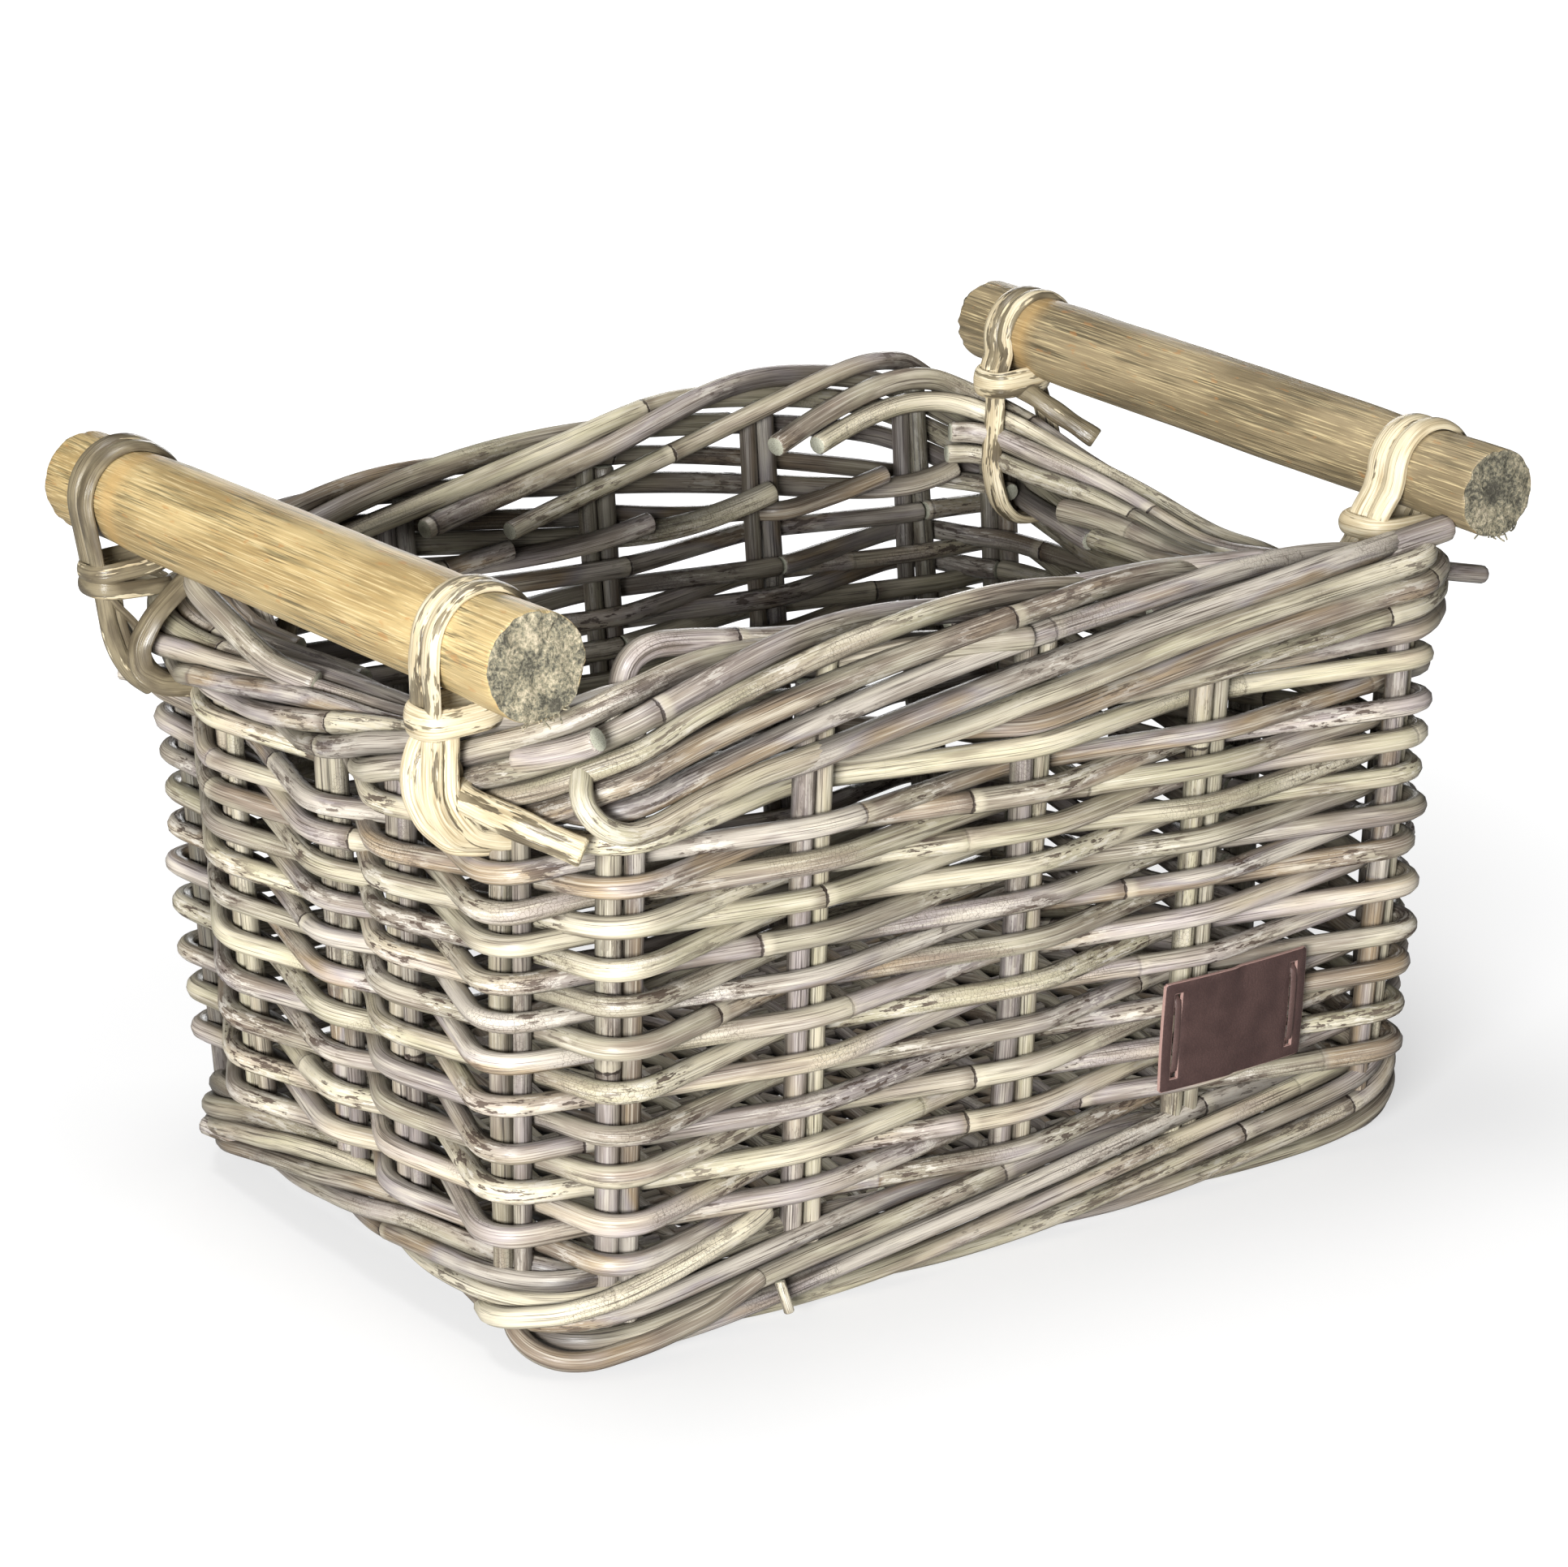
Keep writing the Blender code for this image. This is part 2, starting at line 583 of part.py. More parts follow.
def add_label(collection, leather, lace_leather):
    """Leather label with a slot near each end, and the lace that shows in each slot."""
    slot_centre = LABEL_WIDTH / 2 - SLOT_INSET
    slot_rounding = SLOT_WIDTH / 2 * LACE_ROUNDNESS_SHARE
    slots = []
    for side in (-1, 1):
        slots.append([(x + side * slot_centre, y) for x, y in
                      rounded_rectangle(SLOT_WIDTH / 2, SLOT_HEIGHT / 2, slot_rounding, 2)])
    outline = rounded_rectangle(LABEL_WIDTH / 2, LABEL_HEIGHT / 2, LABEL_CORNER, 2)
    label = flat_shape("label", [outline] + slots, LABEL_THICKNESS, collection, leather)
    lean = atan(WIDTH_LEAN_SHARE)
    wall = half_width(LABEL_CENTRE_HEIGHT) + (WEAVER_OFFSET + WEAVER_RADIUS + CLEARANCE) / cos(lean)
    back = Vector((LABEL_PLACE_SHARE * WALL_HALF_LENGTH, -wall, LABEL_CENTRE_HEIGHT))
    turn = Matrix.Rotation(pi / 2 + lean, 4, "X")
    face = turn @ Vector((0.0, 0.0, 1.0))
    label.matrix_world = Matrix.Translation(back + face * LABEL_THICKNESS / 2) @ turn
    for name, side in (("label_lace_left", -1), ("label_lace_right", 1)):
        half_x = SLOT_WIDTH / 2 - CLEARANCE
        outline = rounded_rectangle(half_x, SLOT_HEIGHT / 2 - CLEARANCE, half_x * LACE_ROUNDNESS_SHARE, 2)
        lace = flat_shape(name, [outline], LACE_THICKNESS, collection, lace_leather)
        place = back + face * LACE_THICKNESS / 2 + turn @ Vector((side * slot_centre, 0.0, 0.0))
        lace.matrix_world = Matrix.Translation(place) @ turn


def build():
    """Make the basket's parts in their own collection."""
    clear_scene()
    basket = bpy.data.collections.new("rattan_basket")
    cutters = bpy.data.collections.new("cutters")
    for collection in (basket, cutters):
        bpy.context.scene.collection.children.link(collection)
    rods = material("weaver rattan", ROD_GREY, 0.6)
    stakes = material("stake rattan", STAKE_GREY, 0.65)
    borders = material("border rattan", BORDER_GREY, 0.6)
    cane = material("flat cane", CANE_CREAM, 0.45)
    add_stakes(basket, stakes)
    add_weaving(basket, rods)
    add_foot(basket, cutters, borders)
    add_rope("rim_rod", RIM_RODS, RIM_TURNS, RIM_ROD_RADIUS, RIM_ROUNDNESS_SHARE, rim_section, RIM_BOTTOM,
             basket, borders)
    add_base(basket, rods)
    add_pole("pole_left", -1, basket, material("olive pole", POLE_OLIVE, 0.5))
    add_pole("pole_right", 1, basket, material("brown pole", POLE_BROWN, 0.5))
    feet = (LASHING_NEAR_SHARE * half_width(RIM_BOTTOM), LASHING_FAR_SHARE * half_width(RIM_BOTTOM))
    for name, side in (("left", -1), ("right", 1)):
        for end, foot, head in zip(("near", "far"), feet, lashing_heads()):
            add_lashing(f"lashing_{end}_{name}", side, foot, head, basket, cane)
    leather = material("label leather", LEATHER_BROWN, 0.5)
    add_label(basket, leather, material("lace leather", LACE_BROWN, 0.7))


build()
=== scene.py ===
# %% [markdown]
# # A rattan basket with two lashed pole handles
# The basket is woven from round rattan rods round eighteen pairs of stakes. The stakes end inside a thick
# rope of rods that is the rim, and another rope makes the foot. Two poles are tied above the short sides
# with flat cane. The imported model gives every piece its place, and this script gives the pieces their looks.

# %% start
import bpy
import numpy as np
from mathutils import Matrix, Vector


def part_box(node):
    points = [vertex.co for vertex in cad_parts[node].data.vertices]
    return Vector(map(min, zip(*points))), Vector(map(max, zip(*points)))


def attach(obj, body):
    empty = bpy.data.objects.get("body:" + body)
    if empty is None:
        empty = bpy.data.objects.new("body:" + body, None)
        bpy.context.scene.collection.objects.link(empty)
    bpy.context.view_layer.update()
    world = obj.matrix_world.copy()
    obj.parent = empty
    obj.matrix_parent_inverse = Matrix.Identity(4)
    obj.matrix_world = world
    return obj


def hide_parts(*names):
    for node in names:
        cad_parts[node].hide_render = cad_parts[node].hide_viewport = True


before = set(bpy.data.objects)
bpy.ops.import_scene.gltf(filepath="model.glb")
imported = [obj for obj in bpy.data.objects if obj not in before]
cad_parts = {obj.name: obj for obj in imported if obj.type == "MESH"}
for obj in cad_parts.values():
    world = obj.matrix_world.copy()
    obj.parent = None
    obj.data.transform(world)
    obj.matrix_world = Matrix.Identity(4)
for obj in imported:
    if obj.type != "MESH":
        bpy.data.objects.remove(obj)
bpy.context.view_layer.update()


# %% [markdown]
# ## Camera
# The camera stands where the photograph was taken from. Its place and angles were fitted to measured
# corners, so the basket's edges fall near their places in the photograph.

# %% camera
EYE = Vector((-0.7925, -1.1462, 0.5652))
YAW, PITCH, ROLL = np.radians((34.48, 17.74, -0.99))
FOCAL_PIXELS = 5716.7
PHOTO_WIDTH = 1932

ahead = Vector((np.sin(YAW) * np.cos(PITCH), np.cos(YAW) * np.cos(PITCH), -np.sin(PITCH)))
level = Vector((np.cos(YAW), -np.sin(YAW), 0.0))
above = level.cross(ahead)
right = level * np.cos(ROLL) + above * np.sin(ROLL)
upward = above * np.cos(ROLL) - level * np.sin(ROLL)
lens = bpy.data.cameras.new("camera")
lens.sensor_width = 36.0
lens.lens = FOCAL_PIXELS / PHOTO_WIDTH * lens.sensor_width
camera = bpy.data.objects.new("camera", lens)
camera.matrix_world = Matrix.Translation(EYE) @ Matrix((right, upward, -ahead)).transposed().to_4x4()
bpy.context.scene.collection.objects.link(camera)
bpy.context.scene.camera = camera
print("lens", round(lens.lens, 1), "mm")

# %% [markdown]
# ## The wall's plan
# The wall is a rectangle with round corners that grows a little with height. Everything that follows the
# wall asks these functions for a place: a distance travelled round the wall gives a point and the
# direction that points outwards there.

# %% the wall's plan
HALF = np.array((0.1625, 0.1065))
LEAN = np.array((0.010, 0.085))
CORNER = 0.022
RIM_FOOT = 0.1679
WEAVE_RISE = 0.0030
WEAVE_DIP = 0.0080
STAKES = np.array((
    (-0.868, -1.000), (-0.475, -1.000), (0.000, -1.000), (0.409, -1.000), (0.877, -1.000),
    (1.000, -0.780), (1.000, -0.200), (1.000, 0.350), (0.985, 0.900),
    (0.816, 1.000), (0.428, 1.000), (0.029, 1.000), (-0.436, 1.000), (-0.930, 0.985),
    (-1.000, 0.560), (-1.000, 0.030), (-1.000, -0.300), (-1.000, -0.807)))
STAKE_COUNT = len(STAKES)


def half_sizes(height):
    """Half length and half width of the wall at each height: the size at the floor plus lean times height."""
    return HALF + LEAN * np.asarray(height, float)[..., None]


def plan_table(arc_steps=24):
    """The plan at the floor as rows of x, y, outward x, outward y and distance travelled.

    Each side is a straight run, then a quarter circle about a centre one corner radius in from both sides.
    """
    rows = []
    for side in range(4):
        facing = -np.pi / 2 + side * np.pi / 2
        out = np.array((np.cos(facing), np.sin(facing)))
        along = np.array((-out[1], out[0]))
        reach, away = (HALF if side % 2 == 0 else HALF[::-1])
        rows.append((*(out * away - along * (reach - CORNER)), *out))
        centre = out * (away - CORNER) + along * (reach - CORNER)
        for angle in facing + np.pi / 2 * np.linspace(0, 1, arc_steps + 1):
            turned = np.array((np.cos(angle), np.sin(angle)))
            rows.append((*(centre + turned * CORNER), *turned))
    rows.append(rows[0])
    rows = np.array(rows)
    steps = np.hypot(*np.diff(rows[:, :2], axis=0).T)
    return np.column_stack((rows, np.concatenate(((0,), np.cumsum(steps)))))


PLAN = plan_table()
WALL_LENGTH = PLAN[-1, 4]


def wall_at(travel, height):
    """Points and outward directions of the wall, read off the plan and grown with height."""
    x, y, out_x, out_y = (np.interp(travel % WALL_LENGTH, PLAN[:, 4], PLAN[:, k]) for k in range(4))
    points = np.column_stack((x, y)) * half_sizes(height) / HALF
    out = np.column_stack((out_x, out_y))
    return points, out / np.hypot(*out.T)[:, None]


def outward_at(points):
    """Level outward direction at points near the wall: the part of each point beyond the corner centres."""
    beyond = np.maximum(np.abs(points[:, :2]) - (half_sizes(points[:, 2]) - CORNER), 1e-6)
    out = np.sign(points[:, :2]) * beyond
    out = np.column_stack((out, np.zeros(len(out))))
    return out / np.linalg.norm(out, axis=1)[:, None]


def standing_out(points):
    """How far points stand out of the wall: their reach past the corner centres, less the corner's radius."""
    beyond = np.maximum(np.abs(points[:, :2]) - (half_sizes(points[:, 2]) - CORNER), 0)
    return np.hypot(*beyond.T) - CORNER


def squeeze(xy):
    """How far the weave is squeezed: nought on the front and back, one in the middle of the short sides."""
    short = np.clip((np.abs(xy[:, 0]) - (HALF[0] - CORNER)) / CORNER, 0, 1)
    across = np.minimum(np.abs(xy[:, 1]) / half_sizes(RIM_FOOT)[1], 1)
    return short * (1 - across ** 2)


def nearest_travel(points):
    """Distance travelled at the places of the wall that lie nearest to the given plan points."""
    travel = np.linspace(0, WALL_LENGTH, 6000, endpoint=False)
    places = wall_at(travel, np.zeros(len(travel)))[0]
    return travel[np.linalg.norm(places[None] - points[:, None], axis=2).argmin(1)]


stake_travel = nearest_travel(STAKES * HALF)
stake_travel[0] -= WALL_LENGTH * (stake_travel[0] > stake_travel[1])
print("wall", round(WALL_LENGTH, 3), "m round, stakes at", stake_travel.round(3))

# %% [markdown]
# ## Rods
# A rattan rod is a round stem with a joint every 15 to 34 cm, where it swells a little and carries a thin
# dark ring. Each rod here is a circle carried along a path. Every point of the mesh remembers where
# it is on its own rod, because the grain, the rings and the cut ends are painted from that later.

# %% rods
rng = np.random.default_rng(7)
RING_STEP = 0.0025
JOINT_LENGTH = 0.0022
JOINT_SPACING = (0.15, 0.34)
NO_JOINTS = np.array((9.0, 10.0))
HUE_CHANGE = 0.16
BEVEL_LENGTH_SHARE = 0.16
END_SIZES = (0.86, 0.90, 0.90, 0.86)
END_PLACES = np.array((-1, -0.9, 0.9, 1))
THICKNESS_CHANGE = 0.9
SHARP_ANGLE = np.radians(50)


def even_steps(points, step, closed=False):
    """The same path with points at even spacing: each coordinate is read off at equal distances travelled."""
    if closed:
        points = np.vstack((points, points[:1]))
    travelled = np.concatenate(((0,), np.cumsum(np.linalg.norm(np.diff(points, axis=0), axis=1))))
    count = max(int(round(travelled[-1] / step)), 3)
    where = np.linspace(0, travelled[-1], count + 1)
    where = where[:-1] if closed else where
    return np.column_stack([np.interp(where, travelled, points[:, k]) for k in range(3)])


def smooth_path(points, step=RING_STEP, rounds=8, closed=False):
    """A path with soft bends: at even steps each point moves to a quarter, a half and a quarter of its
    neighbours and itself, a few times over."""
    path = even_steps(np.asarray(points, float), step, closed)
    for _ in range(rounds):
        if closed:
            path = (np.roll(path, 1, 0) + 2 * path + np.roll(path, -1, 0)) / 4
        else:
            path[1:-1] = (path[:-2] + 2 * path[1:-1] + path[2:]) / 4
    return even_steps(path, step, closed)


def directions(path):
    """Unit direction of travel at each point of a path."""
    along = np.gradient(path, axis=0)
    return along / np.linalg.norm(along, axis=1)[:, None]


def unit_across(vectors, along):
    """The part of each vector that is square to the path, at length one."""
    across = vectors - along * (vectors * along).sum(1)[:, None]
    return across / np.linalg.norm(across, axis=1)[:, None]


def sweep(path, size, out, profile, hue, tone, joints, swell, facing=None, buried=0.0):
    """A profile carried along a path, as a grid of points (rings by sides) with what its finish needs.

    Point = path + size * (profile across * sideways + profile up * outward). The last rings close in over a
    small bevel, so the two ends are flat cut faces. The finish paints shade by how open each point is: how far
    its own direction agrees with the facing direction, less how deep the rod is buried there.
    """
    along = directions(path)
    out = unit_across(out, along)
    side = np.cross(out, along)
    facing = out if facing is None else unit_across(facing, along)
    painted_shade_openness = profile[None, :, 0] * (side * facing).sum(1)[:, None]
    painted_shade_openness = painted_shade_openness + profile[None, :, 1] * (out * facing).sum(1)[:, None]
    painted_shade_openness = painted_shade_openness - np.broadcast_to(buried, len(path))[:, None]
    travelled = np.concatenate(((0,), np.cumsum(np.linalg.norm(np.diff(path, axis=0), axis=1))))
    ring = travelled - joints[np.abs(travelled[:, None] - joints).argmin(1)]
    size = np.broadcast_to(size, len(path)) * (1 + swell * np.exp(-(ring / JOINT_LENGTH) ** 2))
    part = np.searchsorted(joints, travelled)
    hues = np.clip(hue + rng.normal(0, HUE_CHANGE, len(joints) + 1)[part], 0, 1)
    size = size * (1 + swell * np.clip(rng.normal(0, THICKNESS_CHANGE, len(joints) + 1), -1, 1)[part])
    order = np.concatenate(((0, 0), np.arange(len(path)), (-1, -1)))
    shrink, shift, cut = np.ones(len(order)), np.zeros(len(order)), np.zeros(len(order))
    shrink[[0, 1, -2, -1]] = END_SIZES
    shift[[0, 1, -2, -1]] = END_PLACES * size[0] * BEVEL_LENGTH_SHARE
    cut[[0, -1]] = 1
    centre = path[order] + along[order] * shift[:, None]
    reach = size[order] * shrink
    across = profile[None, :, :1] * side[order][:, None] + profile[None, :, 1:] * out[order][:, None]
    points = centre[:, None] + reach[:, None, None] * across
    grain = np.empty(points.shape)
    grain[..., :2] = size[order][:, None, None] * shrink[:, None, None] * profile[None]
    grain[..., 2] = (travelled[order] + shift)[:, None]
    grain += rng.uniform(0, 9, 3)
    tint = np.stack((hues[order], np.full(len(order), tone), cut), axis=1)
    sides = len(profile)
    return {"points": points, "grain": grain, "tint": np.repeat(tint[:, None], sides, 1),
            "ring": np.repeat(ring[order][:, None], sides, 1), "painted_shade_openness": painted_shade_openness[order]}


def circle(sides, turn=0.0):
    """Points round a circle of radius one."""
    angle = np.linspace(0, 2 * np.pi, sides, endpoint=False) + turn
    return np.column_stack((np.cos(angle), np.sin(angle)))


def rod(path, radius, sides=10, hue=None, tone=None, swell=0.05, facing=None, buried=0.0):
    """A round rod along a path, with its joints at uneven distances."""
    joints = rng.uniform(-JOINT_SPACING[1], 0) + np.cumsum(rng.uniform(*JOINT_SPACING, 30))
    hue = rng.uniform(0, 1) if hue is None else hue
    tone = rng.uniform(0, 1) if tone is None else tone
    return sweep(path, radius, outward_at(path), circle(sides, rng.uniform(0, 6)), hue, tone, joints, swell,
                 facing, buried)


def odd_rods(table):
    """Rods laid through given points: rows of radius, hue, tone and points in millimetres."""
    return [rod(smooth_path(np.array(points) / 1000, 0.002, 5), radius / 1000, 12, hue, tone)
            for radius, hue, tone, points in table]


def grid_faces(rings, sides, start):
    """Faces between neighbouring rings as quads, wound so that they point away from the path."""
    i, j = np.meshgrid(np.arange(rings - 1), np.arange(sides), indexing="ij")
    k = (j + 1) % sides
    quads = np.stack((i * sides + j, i * sides + k, (i + 1) * sides + k, (i + 1) * sides + j), axis=-1)
    return quads.reshape(-1, 4) + start


def placed(name, data):
    """An object made from mesh or lamp data and linked to the scene."""
    thing = bpy.data.objects.new(name, data)
    bpy.context.scene.collection.objects.link(thing)
    return thing


def write_layer(mesh, key, values, kind="FLOAT", field="value"):
    """Store one value or vector for every vertex, for the finishes to read."""
    mesh.attributes.new(key, kind, "POINT").data.foreach_set(field, values.astype(np.float32))


def dressed(name, node_name, mesh, finish):
    """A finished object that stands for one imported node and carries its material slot."""
    mesh.shade_smooth()
    mesh.set_sharp_from_angle(angle=SHARP_ANGLE)
    mesh.materials.append(finish)
    thing = placed(name, mesh)
    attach(thing, "root")
    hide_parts(node_name)
    return thing


def piece(name, node_name, grids, finish):
    """One object from many rods: their rings joined by quads, and each end closed by one flat face."""
    faces, start = [], 0
    for grid in grids:
        rings, sides = grid["points"].shape[:2]
        faces += grid_faces(rings, sides, start).tolist()
        faces.append((start + np.arange(sides)[::-1]).tolist())
        faces.append((start + (rings - 1) * sides + np.arange(sides)).tolist())
        start += rings * sides
    mesh = bpy.data.meshes.new(name)
    mesh.from_pydata(np.concatenate([g["points"].reshape(-1, 3) for g in grids]).tolist(), [], faces)
    for key in ("grain", "tint"):
        write_layer(mesh, key, np.concatenate([g[key].reshape(-1) for g in grids]), "FLOAT_VECTOR", "vector")
    for key in ("ring", "painted_shade_openness"):
        write_layer(mesh, key, np.concatenate([g[key].reshape(-1) for g in grids]))
    return dressed(name, node_name, mesh, finish)


# %% [markdown]
# ## Finishes
# Weathered rattan runs from cream to brown grey, with fine dark streaks along the stem, dark rings at the
# joints and thin peel in places. One shader group paints all of that from the rod's own coordinates, and
# each material sets how dark, how streaky and how peeled its rods are. The group also paints shade: a rod is
# darker where it faces its neighbours or lies deep.

# %% finishes


def linear(red, green, blue):
    """A colour written as 0 to 255 in the usual screen curve, changed to the renderer's straight scale."""
    value = np.array((red, green, blue)) / 255
    value = np.where(value <= 0.04045, value / 12.92, ((value + 0.055) / 1.055) ** 2.4)
    return (*value.tolist(), 1.0)


def node(tree, kind, settings=None, inputs=None):
    """Add a shader node, set its options, and fill its sockets with values or links."""
    made = tree.nodes.new(kind)
    for key, value in (settings or {}).items():
        setattr(made, key, value)
    for key, value in (inputs or {}).items():
        if isinstance(value, bpy.types.NodeSocket):
            tree.links.new(value, made.inputs[key])
        else:
            made.inputs[key].default_value = value
    return made


def maths(tree, operation, a, b=0.0, c=0.0, clamp=False):
    """One Math node's result."""
    made = node(tree, "ShaderNodeMath", {"operation": operation, "use_clamp": clamp}, {0: a, 1: b, 2: c})
    return made.outputs[0]


def product(tree, *values):
    """Two or more values multiplied together."""
    result = values[0]
    for value in values[1:]:
        result = maths(tree, "MULTIPLY", result, value)
    return result


def total(tree, *values):
    """Two or more values added together."""
    result = values[0]
    for value in values[1:]:
        result = maths(tree, "ADD", result, value)
    return result


def fade(tree, value, low, high, to_low=0.0, to_high=1.0):
    """A value changed smoothly from one range to another."""
    made = node(tree, "ShaderNodeMapRange", {"interpolation_type": "SMOOTHSTEP"},
                {"Value": value, "From Min": low, "From Max": high, "To Min": to_low, "To Max": to_high})
    return made.outputs["Result"]


def mix(tree, share, a, b, blend="MIX"):
    """Two colours mixed by a share."""
    made = node(tree, "ShaderNodeMix", {"data_type": "RGBA", "blend_type": blend},
                {"Factor": share, "A": a, "B": b})
    return made.outputs["Result"]


def paint(tree, skin, share, red, green, blue):
    """A skin colour covered by another colour by a share."""
    return mix(tree, share, skin, linear(red, green, blue))


def three_parts(tree, vector):
    """The three numbers of a vector."""
    return node(tree, "ShaderNodeSeparateXYZ", {}, {0: vector}).outputs


def stretched(tree, vector, scales):
    """A vector with each of its numbers multiplied by a scale of its own."""
    return node(tree, "ShaderNodeVectorMath", {"operation": "MULTIPLY"}, {0: vector, 1: scales}).outputs[0]


def noise(tree, place, scale, detail, rough=0.5):
    """Cloudy noise read at a place."""
    made = node(tree, "ShaderNodeTexNoise", {}, {"Vector": place, "Scale": scale, "Detail": detail,
                                                 "Roughness": rough})
    return made.outputs["Fac"]


def stretched_noise(tree, vector, scales, detail=2.0, rough=0.5):
    """Noise whose blotches are as long in each direction as one over its scale, in metres."""
    return noise(tree, stretched(tree, vector, scales), 1.0, detail, rough)


def ramp(tree, value, stops):
    """Colours read off a ramp of (place, colour) stops."""
    made = node(tree, "ShaderNodeValToRGB", {}, {"Fac": value})
    elements = made.color_ramp.elements
    while len(elements) < len(stops):
        elements.new(0.5)
    for element, (place, colour) in zip(elements, stops):
        element.position = place
        element.color = colour
    return made.outputs["Color"]


def group(name, inputs):
    """An empty shader group that takes the named inputs and gives looks, and its two end nodes."""
    tree = bpy.data.node_groups.new(name, "ShaderNodeTree")
    for direction, sockets in (("INPUT", inputs), ("OUTPUT", LOOKS)):
        for label, kind in sockets:
            tree.interface.new_socket(label, in_out=direction, socket_type=kind)
    return tree, tree.nodes.new("NodeGroupInput").outputs, tree.nodes.new("NodeGroupOutput").inputs


def give(tree, result, colour, roughness, height):
    """Link a group's three looks to its outputs."""
    for label, value in zip(("Colour", "Roughness", "Height"), (colour, roughness, height)):
        tree.links.new(value, result[label])
    return tree


FLOAT, COLOUR, VECTOR = "NodeSocketFloat", "NodeSocketColor", "NodeSocketVector"
LOOKS = (("Colour", COLOUR), ("Roughness", FLOAT), ("Height", FLOAT))
RATTAN_STOPS = (
    (0.00, linear(230, 220, 194)), (0.14, linear(206, 198, 168)), (0.28, linear(198, 184, 162)),
    (0.42, linear(190, 179, 176)), (0.56, linear(176, 165, 149)), (0.68, linear(198, 190, 166)),
    (0.78, linear(158, 143, 128)), (0.88, linear(184, 162, 132)), (0.95, linear(186, 176, 174)),
    (1.00, linear(224, 214, 200)))


def times(tree, colour, value):
    """A colour made lighter or darker by a factor."""
    grey = node(tree, "ShaderNodeCombineXYZ", {}, {0: value, 1: value, 2: value}).outputs[0]
    return mix(tree, 1.0, colour, grey, "MULTIPLY")


# Range of openness over which the painted shade darkens the rattan, from darkest to none.
PAINTED_SHADE_RANGE = (-0.55, 0.9)


def rattan_group():
    """Colour, roughness and height of weathered rattan from the rod's own coordinates."""
    tree, given, result = group(
        "weathered_rattan",
        (("Grain", VECTOR), ("Tint", VECTOR), ("Ring", FLOAT), ("Painted shade openness", FLOAT), ("Darker", FLOAT),
         ("Streaks", FLOAT), ("Peel", FLOAT)))
    grain, ring, painted_shade_openness = given["Grain"], given["Ring"], given["Painted shade openness"]
    hue, tone, cut = three_parts(tree, given["Tint"])
    drift = maths(tree, "SUBTRACT", stretched_noise(tree, grain, (70, 70, 16), 2.0), 0.5)
    hue = maths(tree, "ADD", hue, product(tree, drift, 0.9), clamp=True)
    skin = times(tree, ramp(tree, hue, RATTAN_STOPS), fade(tree, tone, 0.0, 1.0, 0.78, 1.14))

    # Long cloudy bands, then fine lines of two widths along the stem.
    cloud = stretched_noise(tree, grain, (260, 260, 30), 3.0)
    skin = paint(tree, skin, product(tree, fade(tree, cloud, 0.50, 0.66), 0.55), 126, 111, 96)
    skin = paint(tree, skin, product(tree, fade(tree, cloud, 0.46, 0.32), 0.45), 238, 229, 208)
    fine = stretched_noise(tree, grain, (2300, 2300, 28), 2.0, 0.6)
    finest = stretched_noise(tree, grain, (4600, 4600, 70), 2.0, 0.6)
    where = fade(tree, stretched_noise(tree, grain, (420, 420, 26), 2.0), 0.38, 0.58, 0.25, 1.0)
    thin = product(tree, fade(tree, finest, 0.55, 0.64), 0.7)
    lines = maths(tree, "MAXIMUM", fade(tree, fine, 0.53, 0.63), thin)
    lines = product(tree, lines, where, given["Streaks"])
    skin = paint(tree, skin, lines, 66, 55, 46)
    skin = paint(tree, skin, product(tree, fade(tree, fine, 0.45, 0.36), 0.35), 244, 238, 222)

    # Peel, where the skin has come off in flakes with a dark edge, and patches of fine cracks across.
    peel_shape = stretched_noise(tree, grain, (560, 560, 120), 4.0, 0.65)
    peel_place = fade(tree, stretched_noise(tree, grain, (36, 36, 22), 1.0), 0.50, 0.62)
    peel = product(tree, fade(tree, peel_shape, 0.56, 0.585), peel_place, given["Peel"])
    skin = paint(tree, skin, peel, 84, 68, 58)
    flake = product(tree, fade(tree, peel_shape, 0.44, 0.42), peel_place, given["Peel"])
    skin = paint(tree, skin, product(tree, flake, 0.7), 238, 232, 220)
    cells = node(tree, "ShaderNodeTexVoronoi", {"feature": "DISTANCE_TO_EDGE"},
                 {"Vector": stretched(tree, grain, (620.0, 620.0, 900.0)), "Scale": 1.0})
    crack_place = fade(tree, stretched_noise(tree, grain, (30, 30, 18), 1.0), 0.60, 0.66)
    cracks = product(tree, fade(tree, cells.outputs["Distance"], 0.05, 0.02), crack_place, 0.6)
    skin = paint(tree, skin, cracks, 92, 80, 66)

    # Joints: a thin dark ring with a pale band on one side. Each joint gets its own strength.
    strength = fade(tree, stretched_noise(tree, grain, (6, 6, 9), 0.0), 0.38, 0.54, 0.25, 1.0)
    wobble = maths(tree, "SUBTRACT", stretched_noise(tree, grain, (700, 700, 60), 3.0), 0.5)
    near = total(tree, maths(tree, "ABSOLUTE", ring), product(tree, wobble, 0.0016))
    band = product(tree, fade(tree, ring, 0.0002, 0.0008), fade(tree, ring, 0.0050, 0.0020), strength, 0.45)
    skin = paint(tree, skin, band, 232, 222, 196)
    shade = product(tree, fade(tree, near, 0.0060, 0.0008), fade(tree, ring, 0.0008, -0.0008), strength, 0.5)
    skin = paint(tree, skin, shade, 86, 70, 58)
    dark_ring = product(tree, fade(tree, near, 0.00060, 0.00022), strength)
    skin = paint(tree, skin, product(tree, dark_ring, 0.9), 54, 42, 36)
    skin = times(tree, skin, maths(tree, "SUBTRACT", 1.0, given["Darker"]))

    # Painted shade: rods are darker where they face each other or lie deep, where shade falls between them.
    skin = times(tree, skin, fade(tree, painted_shade_openness, *PAINTED_SHADE_RANGE, 0.36, 1.0))

